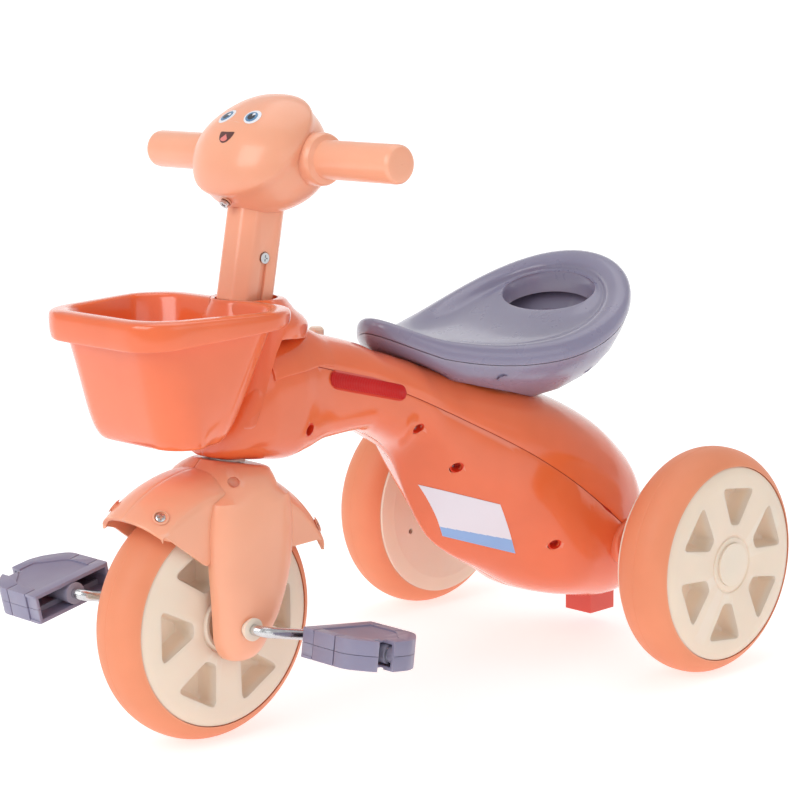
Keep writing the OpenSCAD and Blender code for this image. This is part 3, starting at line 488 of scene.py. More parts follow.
def makeBody():
    rows = []
    for x in stationList(tailX, noseX, body["stations"]):
        top = seamAngle(x)
        width = max(bodyHalf(x), 0.01)
        if top < math.pi / 2:
            top -= body["seamGap"] / width
        n = body["sidePoints"]
        rows.append([bodyPoint(x, -math.pi / 2 + (top + math.pi / 2) * i / n) for i in range(n + 1)])
    half = loft("bodySideLeft", rows, closed=False)
    cutters = [wellCutter(rearX + s[0], s[1], body["wellR"], 1) for s in screwSpots]
    thicken(half, body["wall"], 0)
    cutAway(half, cutters)
    bevel(half, body["edge"])
    applyAll(half)
    other = mirrored(half, "bodySideRight")
    place(half, "body", "orange_plastic", orange, "body_left_shell")
    place(other, "body", "orange_plastic", orange, "body_right_shell")
    for i, s in enumerate(screwSpots):
        for side, label in ((1, "Left"), (-1, "Right")):
            x = rearX + s[0]
            y = sideY(x, s[1])
            d = 0.004
            slope = Vector((-(sideY(x + d, s[1]) - sideY(x - d, s[1])) / (2 * d), 1,
                            -(sideY(x, s[1] + d) - sideY(x, s[1] - d)) / (2 * d))).normalized()
            slope.y *= side
            # the body's wells take the darker orange: painted shade inside the recess
            screwWell(f"screwWell{label}{i + 1}", Vector((x, side * y, s[1])), slope, body["wellR"],
                      body["wellDepth"], shadedOrange, "body", "orange_plastic")
    coverRows = []
    for x in stationList(tailX, headX - 0.0445, body["stations"]):
        a = seamAngle(x) + body["seamGap"] / max(bodyHalf(x), 0.01)
        n = body["coverPoints"]
        row = []
        for i in range(n + 1):
            t = a + (math.pi - 2 * a) * i / n
            edgeLift = body["coverLift"] * min(1, i / 3, (n - i) / 3)     # proud of the seam
            row.append(bodyPoint(x, t, edgeLift))
        coverRows.append(row)
    cover = loft("bodyTopCover", coverRows, closed=False)
    thicken(cover, body["wall"], body["edge"])
    place(cover, "body", "orange_plastic", orange, "body_top_cover")
    # saddle that covers the front end of the top cover, behind the basket's plateau
    saddleRows = []
    for x in stationList(headX - 0.066, headX - 0.004, 24):
        saddleRows.append([bodyPoint(x, math.radians(18 + 144 * i / 48), 0.0017) for i in range(49)])
    saddle = loft("neckSaddle", saddleRows, closed=False)
    thicken(saddle, 0.0022, 0.0007)
    place(saddle, "body", "orange_plastic", orange)
    # strip under the seam between cover and side shells, in the darker orange: painted shade in the gap
    lipRows = []
    for x in stationList(tailX + 0.004, headX - 0.046, 110):
        spread = 0.0035 / max(bodyHalf(x), 0.02)
        lipRows.append([bodyPoint(x, seamAngle(x) + spread * (i / 3 - 1), -0.0019) for i in range(7)])
    lip = loft("seamLipLeft", lipRows, closed=False)
    thicken(lip, 0.0008, 0)
    place(mirrored(lip, "seamLipRight"), "body", "orange_plastic", shadedOrange)
    place(lip, "body", "orange_plastic", shadedOrange)
    for side, label in ((1, "Left"), (-1, "Right")):
        ring = turned(f"axleCollar{label}", [(0.0142, 0.060), (0.0185, 0.060), (0.0185, 0.079),
                                             (0.0172, 0.0805), (0.0142, 0.0805)], (rearX, 0, axleZ), side, 64)
        place(ring, "body", "orange_plastic", orange)


def patch(name, corners, half, lean, offset, rows=36, cols=14, roundEnds=True, dome=0.0):
    # a strip that follows the body's side between the two corners
    (x0, z0), (x1, z1) = corners
    points = []
    for i in range(rows + 1):
        u = i / rows
        edge = 1.0
        if roundEnds:
            d = min(u, 1 - u) * abs(x1 - x0) / half
            edge = math.sqrt(max(0.0, 1 - (1 - min(1, d)) ** 2)) if d < 1 else 1.0
            edge = max(edge, 0.02)
        row = []
        for j in range(cols + 1):
            v = (j / cols * 2 - 1) * edge
            dz = v * half
            x = x0 + (x1 - x0) * u + lean * dz
            z = z0 + (z1 - z0) * u + dz
            lift = offset + dome * (1 - v * v) * min(1, min(u, 1 - u) * 10)
            row.append(Vector((x, sideY(x, z) + lift, z)))
        points.append(row)
    return loft(name, points, closed=False)


reflector = {"ends": ((headX - 0.061, 0.257), (headX - 0.137, 0.237)), "half": 0.0056, "bezel": 0.0016}
# band: how far under the film's middle line its blue part starts
label = {"from": (rearX + 0.161, 0.133), "to": (rearX + 0.107, 0.114), "half": 0.0235, "lean": 0.66,
         "midZ": 0.124, "band": 0.0125}


def makeTrim():
    for side, node in ((1, "reflector_left"), (-1, "reflector_right")):
        lens = patch("lens", reflector["ends"], reflector["half"], 0, 0.0012, 60, 12, True, 0.0012)
        thicken(lens, 0.0016, 0.0003)
        bezel = patch("bezel", reflector["ends"], reflector["half"] + reflector["bezel"], 0, 0.0005, 60, 12)
        thicken(bezel, 0.001, 0.0003)
        place(sided(lens, side, "reflector"), "body", "red_reflector", red, node)
        # rim round the lens in the darker orange: painted shade at the lens's edge
        place(sided(bezel, side, "reflectorBezel"), "body", "orange_plastic", shadedOrange)
    film = patch("blankLabel", (label["from"], label["to"]), label["half"], label["lean"], 0.0003, 40, 96,
                 False)
    thicken(film, 0.0002, 0)
    place(film, "body", "label_film", filmWhite, "label")
    film.data.materials.append(filmBlue)
    (x0, z0), (x1, z1) = label["from"], label["to"]
    for f in film.data.polygons:
        c = f.center
        mid = z0 - (z0 - z1) * (x0 + label["lean"] * (c.z - label["midZ"]) - c.x) / (x0 - x1)
        if c.z < mid - label["band"]:
            f.material_index = 1


makeBody()
makeTrim()
print("body made")


basket = {"reach": 0.095, "back": 0.164, "front": 0.142, "rim": 0.319, "floor": 0.224, "wall": 0.003}


def trayRing(x0, x1, w0, w1, r, z, dip=0.0, corner=8):
    ring = []
    for cx, cy, start in ((x1 - r, w1 - r, 0), (x0 + r, w0 - r, 90), (x0 + r, -w0 + r, 180),
                          (x1 - r, -w1 + r, 270)):
        for i in range(corner + 1):
            a = math.radians(start + 90 * i / corner)
            x = cx + r * math.cos(a)
            ring.append(Vector((x, cy + r * math.sin(a), z - dip * max(0, (x - x0) / (x1 - x0)))))
    return ring


def makeBasket():
    x1 = frontX + basket["reach"]
    x0 = headX - 0.006
    w0 = basket["back"] / 2
    w1 = basket["front"] / 2
    top = basket["rim"]
    floor = basket["floor"]
    rows = [  # back inset, front inset, back side inset, front side inset, corner, height, dip
        (60, 60, 60, 44, 14, floor, 0), (44, 39, 44, 27, 20, floor, 0),
        (40, 34, 40, 22, 24, floor + 0.0008, 0), (37, 30, 37, 19, 26, floor + 0.004, 0),
        (31, 25, 31, 15, 28, floor + 0.016, 0), (22, 17.5, 21, 12.5, 29, floor + 0.050, 0),
        (14, 11, 11, 10.5, 30, top - 0.014, 0.007), (13, 10, 10, 10, 30, top - 0.0095, 0.008),
        (6, 4, 4, 4, 33, top - 0.0095, 0.010), (4, 2, 2, 2, 34, top - 0.0105, 0.0115),
        (2.6, 0.6, 0.6, 0.6, 35, top - 0.0095, 0.0105), (2, 0, 0, 0, 35, top - 0.006, 0.006),
        (2, 0, 0, 0, 35, top - 0.0028, 0.0015), (3, 1, 1, 1, 34, top - 0.0008, 0.001),
        (5.5, 4, 4, 4, 33, top, 0.0006), (11, 9, 9, 9, 31, top, 0), (14.5, 12, 12, 12, 29, top - 0.001, 0),
        (16, 13.5, 13.5, 13.5, 28, top - 0.004, 0), (25, 20.5, 24.5, 15.5, 27, floor + 0.052, 0),
        (34, 28, 34, 18, 26, floor + 0.018, 0), (40, 33, 40, 22, 24, floor + 0.0065, 0),
        (44, 38, 44, 26, 21, floor + 0.0034, 0), (60, 60, 60, 44, 14, floor + 0.003, 0)]
    rings = []
    for a, b, c, d, r, z, dip in rows:
        rings.append(trayRing(x0 + a * mm, x1 - b * mm, w0 - c * mm, w1 - d * mm, r * mm, z, dip))
    cup = loft("basketCup", rings, caps=(True, True), sharpAngle=60)
    sub = cup.modifiers.new("round", "SUBSURF")
    sub.levels = 2
    sub.render_levels = 2
    applyAll(cup, 60)
    axisX = frontX - (top - axleZ) * math.tan(rake)
    bore = rod("bore", frontAxle + steerAxis * 0.11, frontAxle + steerAxis * 0.30, 0.025, 48)
    cutAway(cup, [bore])
    place(cup, "body", "orange_plastic", orange, "basket")
    # raised plateau behind the basket that the stem comes out of
    profile = [(22.8, 297), (44, 292), (44.6, 294), (44.6, 300), (44, 303), (41, 307), (35, 312),
               (30.5, 316.5), (29, 318.2), (27, 318.8), (22.8, 318), (22.8, 316)]
    rings = []
    for i in range(96):
        a = 2 * math.pi * i / 96
        front = max(0, math.cos(a))
        t = max(0, min(1, (front - 0.05) / 0.3))
        foot = 292 - 62 * t * t * (3 - 2 * t)
        ring = []
        for r, z in profile:
            rr = 22.8 + (r - 22.8) * (1 - 0.62 * front)
            if z < 298:
                z = foot + (z - 292)
            x = rr * mm * math.cos(a) + max(0, 300 - z) * mm * math.tan(rake)
            drop = 0.004 * max(0, -math.cos(a)) * min(1, (r - 23) / 12)
            ring.append(Vector((axisX - 0.001 + x, rr * mm * math.sin(a), z * mm - drop)))
        rings.append(ring)
    collar = loft("stemCollar", rings, loop=True, sharpAngle=50)
    place(collar, "body", "orange_plastic", orange)


makeBasket()
print("basket made")


seat = {"length": 0.250, "width": 0.184, "frontX": rearX + 0.217, "slot": (0.046, 0.092),
        "slotX": rearX + 0.013,
        "points": 96}
seatMidX = seat["frontX"] - seat["length"] / 2


def seatEdge(t, inset):
    u = math.cos(t)
    half = (seat["width"] / 2 - inset) * (1 - 0.34 * u)
    return (seatMidX + (seat["length"] / 2 - inset) * u, half * math.sin(t) * (1 - 0.1 * max(0, u)))


def seatRimZ(x):
    u = (seatMidX - x) / (seat["length"] / 2)
    nose = max(0, -u - 0.7) / 0.3
    return 0.269 + 0.019 * u + 0.038 * u * u + 0.006 * min(1, nose)


def slotEdge(t, grow):
    u = math.cos(t)
    squash = 1 - 0.06 * u
    x = seat["slotX"] + (seat["slot"][0] / 2 + grow) * u
    return (x, (seat["slot"][1] / 2 + grow) * math.sin(t) * squash)


def seatRing(inset, mix, drop, grow=0.0):
    ring = []
    for i in range(seat["points"]):
        t = 2 * math.pi * i / seat["points"]
        a = seatEdge(t, inset * mm)
        b = slotEdge(t, grow * mm)
        x = a[0] * (1 - mix) + b[0] * mix
        ring.append(Vector((x, a[1] * (1 - mix) + b[1] * mix, seatRimZ(x) - drop * mm)))
    return ring


baseFoot = (rearX + 0.122, 0.066, 0.050)


def baseRing(mix, mixZ, inset):
    ring = []
    for i in range(seat["points"]):
        t = 2 * math.pi * i / seat["points"]
        a = seatEdge(t, inset * mm)
        bx = baseFoot[0] + (baseFoot[1] - inset * mm) * math.cos(t)
        by = (baseFoot[2] - inset * mm) * math.sin(t) * (1 - 0.3 * math.cos(t))
        h = (bodyHigh(bx) - bodyLow(bx)) / 2
        across = min(0.99, abs(by) / bodyHalf(bx))
        rest = bodyHigh(bx) - h + h * (1 - across ** body["exponent"]) ** (1 / body["exponent"])
        rest = max(rest, bodyHigh(bx) - 0.010)
        z = (seatRimZ(a[0]) - 0.0153) * (1 - mixZ) + (rest + 0.001) * mixZ
        ring.append(Vector((a[0] * (1 - mix) + bx * mix, a[1] * (1 - mix) + by * mix, z)))
    return ring


def makeSeat():
    rings = [seatRing(0.7, 0, 15.1), seatRing(0.3, 0, 14.6), seatRing(0, 0, 13), seatRing(0, 0, 9.5),
             seatRing(0.5, 0, 6.8), seatRing(1.9, 0, 4.2), seatRing(4, 0, 2.1), seatRing(7, 0, 0.6),
             seatRing(10.5, 0, 0), seatRing(13.5, 0.02, 0.3), seatRing(15.5, 0.06, 1.2),
             seatRing(16.5, 0.12, 2.6), seatRing(16, 0.2, 4.4), seatRing(14, 0.34, 6.4),
             seatRing(12, 0.5, 7.4), seatRing(10, 0.7, 7.2), seatRing(9, 0.84, 6.2), seatRing(9, 0.93, 5.4),
             seatRing(9, 0.975, 5.2), seatRing(9, 1, 6.2, 0.6), seatRing(9, 1, 7.8, 0),
             seatRing(9, 1, 13, 0), seatRing(9, 1, 22, 0.2), seatRing(9, 1, 22, 2.6),
             seatRing(9, 1, 14, 2.8), seatRing(9, 0.75, 14.2), seatRing(9, 0.4, 14.4), seatRing(9, 0.12, 11),
             seatRing(4.5, 0, 9), seatRing(3.5, 0, 15)]
    top = loft("seatTop", rings, loop=True, sharpAngle=50)
    place(top, "body", "lilac_plastic", lilac, "seat_top")
    rows = [(0, 0, 5), (0.05, 0.14, 4.8), (0.15, 0.36, 4.5), (0.3, 0.56, 4.2), (0.45, 0.7, 4),
            (0.7, 0.87, 4), (1, 1, 4), (1, 1.0, 0.6), (0.985, 0.992, 0.2), (0.7, 0.905, 1), (0.45, 0.74, 1),
            (0.3, 0.6, 1.1), (0.15, 0.4, 1.4), (0.05, 0.18, 1.3), (0.0, 0.02, 1.2)]
    base = loft("seatBase", [baseRing(*r) for r in rows], loop=True, sharpAngle=50)
    slot = []
    for z in (0.18, 0.35):
        slot.append([Vector((*slotEdge(2 * math.pi * i / 64, 0.0034), z)) for i in range(64)])
    cutAway(base, [loft("slotCut", slot, caps=(True, True))])
    place(base, "body", "lilac_plastic", lilac, "seat_base")
    for side, label in ((1, "Left"), (-1, "Right")):
        for i, t in enumerate((1.25, 2.05)):
            a = baseRing(0.45, 0.74, 1)[round(t / (2 * math.pi) * seat["points"])]
            b = baseRing(0.15, 0.4, 1.4)[round(t / (2 * math.pi) * seat["points"])]
            mid = a.lerp(b, 0.45)
            out = Vector((0, b.z - a.z, -(b.y - a.y))).normalized()
            mid.y *= side
            out.y *= side
            screwWell(f"seatScrewWell{label}{i + 1}", mid + out * 0.0006, out, 0.0036, 0.005, lilacDark,
                      "body",
                      "lilac_plastic")


makeSeat()
print("seat made")


fork = {"guardR": 0.111, "guardFrom": 49, "guardTo": 154, "wall": 0.003, "crown": 0.1142}
armRows = [[-27, -3, 1.2, 0.1, 31], [-26.4, -3, 6, 0.34, 31], [-24.5, -3, 12, 0.58, 31],
           [-20, -3.2, 17, 0.78, 31], [-12, -4, 21.5, 0.92, 31], [5, -9, 28, 1, 31], [25, -13, 33, 1, 31],
           [45, -15, 36.5, 0.97, 31], [70, -16, 37.5, 0.9, 31], [92, -17, 34.5, 0.74, 31],
           [95.5, -17.5, 33.5, 0.69, 0.05], [99, -18, 32.5, 0.6, 0.05], [103, -18.7, 31, 0.46, 0.05],
           [106.5, -19.4, 29.5, 0.28, 0.05], [110, -20.2, 27.5, 0.04, 0.05], [113, -20.8, 25, -0.25, 0.05],
           [116, -21.3, 22.5, -0.55, 0.05], [118.5, -21.6, 20, -0.8, 0.05]]


def guardLow(angle):
    # distance from the axle down to which the skirt reaches in this direction
    r = fork["guardR"] / mm
    first = math.radians(fork["guardFrom"])
    chain = [(r * math.cos(first), r * math.sin(first)), (25, 47), (0, 60), (-40, 60), (-52, 47),
             (-r * math.cos(math.radians(26)), r * math.sin(math.radians(26)))]
    d = (math.cos(angle), math.sin(angle))
    best = 97.0
    for (ax, az), (bx, bz) in zip(chain, chain[1:]):
        ex, ez = bx - ax, bz - az
        det = -d[0] * ez + d[1] * ex
        if abs(det) < 1e-9:
            continue
        t = (-ax * ez + az * ex) / det
        w = (d[0] * az - d[1] * ax) / det
        if -0.001 <= w <= 1.001 and t > 0:
            best = min(best, t)
    return best * mm


def makeForkHalf(side, label, node):
    columns = [smoothCurve([(r[0], r[k]) for r in armRows[:10]]) for k in range(5)]
    rings = []
    heights = [-27, -26.7, -26.2, -25.4, -24.5, -23, -21, -18, -14, -9, -3, 4, 12, 20, 30, 40, 50, 60, 70,
               80, 86, 90]
    levels = [[z, columns[1](z), columns[2](z), columns[3](z), 31] for z in heights] + armRows[10:]
    for z, xc, half, share, innerY in levels:
        bulge = 31 + 21 * share - innerY
        ring = []
        for i in range(33):
            t = math.pi * i / 32
            y = innerY + max(0.4, bulge * math.sin(t) ** 0.72)
            p = frontAxle + Vector(((xc + half * math.cos(t)) * mm, y * mm, z * mm))
            s = (p - frontAxle).dot(steerAxis)
            if s > fork["crown"]:
                p -= steerAxis * (s - fork["crown"])
            ring.append(p)
        for i in range(1, 8):
            a = ring[32].lerp(ring[0], i / 8)
            a.y = frontAxle.y + innerY * mm
            ring.append(a)
        rings.append(ring)
    arm = loft("arm", rings, caps=(True, True))
    cutAway(arm, [rod("boreCut", frontAxle + Vector((0, 0.02, 0)), frontAxle + Vector((0, 0.08, 0)), 0.0072,
                      48)])
    spot = frontAxle + Vector((-0.001, 0.0345, 0.104))
    out = Vector((0.5, 0.75, 0.43)).normalized()
    cutAway(arm, [rod("crownCut", spot - out * 0.0055, spot + out * 0.02, 0.0044, 32)])
    bevel(arm, 0.0012, 3, 50)
    applyAll(arm)
    rows = []
    n = 70
    for i in range(n + 1):
        a = math.radians(fork["guardFrom"] + (fork["guardTo"] - fork["guardFrom"]) * i / n)
        low = guardLow(a)
        row = []
        for r, y in ((111, 0.1), (110.8, 4), (110.3, 9), (109.6, 14), (108, 19), (105.8, 23.5), (103, 27.5),
                     (100, 31), (98.3, 33), (97, 34)):
            row.append((min(r * mm, fork["guardR"]), y * mm))
        for k in range(1, 9):
            row.append((0.097 + (low - 0.097) * k / 8, 0.034))
        rows.append([frontAxle + Vector((r * math.cos(a), y, r * math.sin(a))) for r, y in row])
    guard = loft("guard", rows, closed=False)
    # outside faces away from the wheel
    outward = guard.data.polygons[len(guard.data.polygons) // 2]
    if outward.normal.dot(outward.center - frontAxle) < 0:
        guard.data.flip_normals()
    thicken(guard, fork["wall"], 0.0008)
    piece = sided(joined("half", [arm, guard]), side, "forkHalf")
    smooth(piece, 40)
    place(piece, "steering", "peach_plastic", peach, node)
    for k, degrees in enumerate((56, 147)):
        a = math.radians(degrees)
        out = Vector((math.cos(a) * 0.75, side * 0.66, math.sin(a) * 0.75)).normalized()
        spot = frontAxle + Vector((0.1046 * math.cos(a), side * 0.0258, 0.1046 * math.sin(a)))
        screwWell(f"guardWell{label}{k + 1}", spot + out * 0.0011, out, 0.0047, 0.003, peach, "steering",
                  "peach_plastic")
        head = screwHead(f"guardScrew{label}{k + 1}", spot - out * 0.0018, out, 0.0039)
        if side > 0 and k == 0:
            place(head, "steering", "zinc_steel", steel, "fork_screws")
        else:
            place(head, "steering", "zinc_steel", steel)


makeForkHalf(1, "Left", "fork_left")
makeForkHalf(-1, "Right", "fork_right")
print("fork made")


head = {"size": (0.096, 0.102, 0.087), "faceTilt": 44, "faceCut": 0.012, "flatten": 0.30, "chin": 0.07}
barZ = 0.418
barX = frontX - (barZ - axleZ) * math.tan(rake) - 0.011
headMid = Vector((barX + 0.012, 0, 0.420))
lean = math.radians(16)


def headSurface(direction, grow=0.0):
    # nearest skin point in a direction from the head's middle, by search
    d = Vector(direction).normalized()
    lo, hi = 0.0, 0.08
    for _ in range(26):
        r = (lo + hi) / 2
        if insideHead(d * r, grow):
            lo = r
        else:
            hi = r
    return headMid + d * lo


def insideHead(p, grow):
    n = Vector((math.cos(math.radians(head["faceTilt"])), 0, math.sin(math.radians(head["faceTilt"]))))
    over = p.dot(n) - head["faceCut"] - grow * (1 - head["flatten"])
    if over > 0:
        p = p + n * over * (1 / (1 - head["flatten"]) - 1)
    q = Matrix.Rotation(-lean, 3, "Y") @ p
    a, b, c = (v / 2 + grow for v in head["size"])
    ring = ((abs(q.y) / b) ** 2.2 + (abs(q.z) / c) ** 2.2) ** (1 / 2.2)
    return (abs(q.x) / a) ** 2.3 + ring ** 2.3 < 1


def makeHead():
    tilt = math.radians(head["faceTilt"])
    n = Vector((math.cos(tilt), 0, math.sin(tilt)))
    e1 = Vector((-math.sin(tilt), 0, math.cos(tilt)))
    e2 = Vector((0, 1, 0))
    cols = 128
    domeSteps = [0.004, 0.1, 0.2, 0.3, 0.4, 0.5, 0.6, 0.7, 0.78, 0.85, 0.9, 0.94, 0.965, 0.982, 0.993, 1.0]
    bowlSteps = [0.006, 0.014, 0.026, 0.045, 0.07, 0.1, 0.14, 0.18]
    bowlSteps += [0.18 + 0.816 * k / 24 for k in range(1, 25)]
    rings = [[] for _ in range(len(domeSteps) + len(bowlSteps))]
    for j in range(cols):
        phi = 2 * math.pi * j / cols
        side = math.cos(phi) * e1 + math.sin(phi) * e2
        lo, hi = 0.05, math.pi - 0.05
        for _ in range(18):
            mid = (lo + hi) / 2
            if (headSurface(math.cos(mid) * n + math.sin(mid) * side) - headMid).dot(n) > head["faceCut"]:
                lo = mid
            else:
                hi = mid
        for k, f in enumerate(domeSteps):
            t = lo * f
            rings[k].append(headSurface(math.cos(t) * n + math.sin(t) * side))
        for k, f in enumerate(bowlSteps):
            t = lo + (math.pi - lo) * f
            p = headSurface(math.cos(t) * n + math.sin(t) * side) - headMid
            depth = max(0, min(1, (head["faceCut"] - p.dot(n)) / 0.010))
            pull = 1 - head["chin"] * depth * depth * (3 - 2 * depth)
            p = n * p.dot(n) + (p - n * p.dot(n)) * pull
            rings[len(domeSteps) + k].append(headMid + p)
    shell = loft("headShell", rings, caps=(True, True), sharpAngle=70)
    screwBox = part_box("head_screw")
    out = ((screwBox[0] + screwBox[1]) / 2 - headMid).normalized()
    chin = rod("chinHole", headMid + out * 0.028, headMid + out * 0.08, 0.0036)
    cutAway(shell, [chin])
    smooth(shell, 60)
    place(shell, "steering", "peach_plastic", peach, "head_front_shell", "head_rear_shell")
    spot = headSurface(out)
    screwWell("chinWell", spot - out * 0.0016, out, 0.0038, 0.006, peach, "steering", "peach_plastic")


def makeGrips():
    r = 14.0
    profile = [(10, 30), (r + 5, 30), (r + 5, 51), (r + 4.6, 54.2), (r + 3.6, 55.8), (r + 1.4, 56.6),
               (r, 57.6), (r - 0.2, 60), (r - 0.2, 127), (r - 0.6, 129.6), (r - 1.8, 131.2),
               (r - 3.6, 131.9), (r - 7, 132), (0.2, 132)]
    for side, label, node in ((1, "Left", "grip_left"), (-1, "Right", "grip_right")):
        piece = turned("grip" + label, [(a * mm, b * mm) for a, b in profile], (barX, 0, barZ), side, 96,
                       False)
        place(piece, "steering", "peach_plastic", peach, node)


def facePatch(name, aim, shape, lift, material, node=None, slot="eye_print", rings=10, steps=48):
    # thin print on the head's skin; shape(t) gives its outline (right, up) at angle t
    d = Vector(aim).normalized()
    right = Vector((-d.y, d.x, 0)).normalized()
    up = d.cross(right)
    centre = headSurface(d)
    rows = []
    for k in range(rings, -1, -1):
        row = []
        for i in range(steps):
            a, b = shape(2 * math.pi * i / steps)
            f = max(k / rings, 0.002)
            target = centre + right * a * f + up * b * f - headMid
            p = headSurface(target)
            row.append(p + (p - headMid).normalized() * lift)
        rows.append(row)
    edge = []
    for p in rows[0]:
        edge.append(p - (p - headMid).normalized() * (lift + 0.0004))
    piece = loft(name, [edge] + rows, caps=(False, True))
    if node:
        place(piece, "steering", slot, material, node)
    else:
        place(piece, "steering", slot, material)


def oval(a, b, across=0.0, up=0.0):
    return lambda t: (a * math.cos(t) + across, b * math.sin(t) + up)


def faceAim(azimuth, height):
    az = math.radians(azimuth)
    el = math.radians(height)
    return (math.cos(az) * math.cos(el), math.sin(az) * math.cos(el), math.sin(el))


def makeFace():
    for sign, label in ((1, "Left"), (-1, "Right")):
        aim = faceAim(3 + 32 * sign, 49)
        node = "face_eyes" if sign == 1 else None
        for name, outline, lift, material in (
                ("eyeWhite", oval(0.0066, 0.0074), 0.0002, eyeWhite),
                ("eyeIris", oval(0.0047, 0.0053, -0.0006), 0.0004, eyeBlue),
                ("eyePupil", oval(0.0028, 0.0032, -0.0008), 0.0006, eyeDark),
                ("eyeSpark", oval(0.0011, 0.0011, 0.0012, 0.0018), 0.0008, eyeWhite)):
            facePatch(name + label, aim, outline, lift, material, node if name == "eyeWhite" else None)
    aim = faceAim(4, 25)

    def smile(t):
        c, s = math.cos(t), math.sin(t)
        return (0.0070 * c, (0.0020 * s if s > 0 else 0.0068 * s) + 0.0016 * abs(c) ** 2)

    facePatch("mouth", aim, smile, 0.0002, mouthDark, "face_mouth", "mouth_print")
    facePatch("tongue", aim, oval(0.0032, 0.0018, -0.0004, -0.0038), 0.0004, mouthPink, None, "mouth_print")


stem = {"low": 0.228, "high": 0.306, "size": (0.040, 0.032), "chamfer": 0.008, "screwAt": 0.262}


def makeStem():
    a, b = (v / 2 for v in stem["size"])
    c = stem["chamfer"]
    outline = [(a, b - c), (a - c, b), (c - a, b), (-a, b - c), (-a, c - b), (c - a, -b), (a - c, -b),
               (a, c - b)]
    front = Vector((math.cos(rake), 0, math.sin(rake)))
    rings = []
    for s in (stem["low"], stem["high"]):
        rings.append([frontAxle + steerAxis * s + front * x + Vector((0, y, 0)) for x, y in outline])
    post = loft("stemPost", rings, caps=(True, True))
    bevel(post, 0.0022, 4, 20)
    applyAll(post)
    mid = frontAxle + steerAxis * stem["screwAt"]

    def channel(s0, s1, half, y):
        corners = [(-half, s0), (half, s0), (half, s1), (-half, s1)]
        return loft("channel", [[frontAxle + steerAxis * s + front * x + Vector((0, yy, 0)) for x,
                                 s in corners]
                                for yy in (y, 0.03)], caps=(True, True))
    cuts = [rod("cut", mid + Vector((0, b - 0.0022, 0)), mid + Vector((0, 0.03, 0)), 0.0048),
            channel(0.20, stem["screwAt"], 0.0028, b - 0.0022),
            rod("tube", frontAxle + steerAxis * 0.2, frontAxle + steerAxis * 0.32, 0.011, 48)]
    cutAway(post, cuts)
    bevel(post, 0.0004, 2, 50)
    applyAll(post)
    place(post, "steering", "peach_plastic", peach, "stem")


makeHead()
makeStem()
makeGrips()
makeFace()
print("head made")


wheel = {"rootR": 0.066, "exponent": 2.2, "hubR": 0.077, "bossR": 0.020, "windows": 6,
         "window": (0.0315, 0.0635, 9, 18.5, 0.0065)}


def tyreR(y):
    e = wheel["exponent"]
    return wheel["rootR"] + (wheelR - wheel["rootR"]) * (1 - (abs(y) / tyreHalf) ** e) ** (1 / e)


def tyreY(r):
    e = wheel["exponent"]
    return tyreHalf * (1 - (max(0, r - wheel["rootR"]) / (wheelR - wheel["rootR"])) ** e) ** (1 / e)


edgeY = tyreY(wheel["hubR"])


def makeTyre(name, node, centre, bodyName):
    profile = [(tyreR(edgeY * i / 40), edgeY * i / 40) for i in range(-40, 41)]
    profile[40] = (profile[40][0] - 0.00025, 0)     # faint mould line round the middle
    end = [(wheel["hubR"] + 0.0003, edgeY - 0.0006), (wheel["hubR"], edgeY - 0.002),
           (wheel["hubR"] - 0.001, edgeY - 0.009)]
    profile = [(r, -y) for r, y in reversed(end)] + profile + end
    piece = turned(name, profile, centre, 1, 160, False, 40)
    place(piece, bodyName, "tyre_plastic", tyreSkin, node)


def windowShape(inner, outer, half0, half1, corner, steps=6):
    # rounded wedge outline in the hub's plane
    pts = [(inner, -half0), (outer, -half1), (outer, half1), (inner, half0)]
    raw = [(r * math.cos(math.radians(a)), r * math.sin(math.radians(a))) for r, a in pts]
    out = []
    n = len(raw)
    for i in range(n):
        p = Vector(raw[i])
        a = (Vector(raw[i - 1]) - p).normalized()
        b = (Vector(raw[(i + 1) % n]) - p).normalized()
        cr = corner if i in (1, 2) else corner * 0.5
        p0 = p + a * cr
        p1 = p + b * cr
        for k in range(steps + 1):
            t = k / steps
            out.append((1 - t) ** 2 * p0 + 2 * t * (1 - t) * p + t * t * p1)
    return out


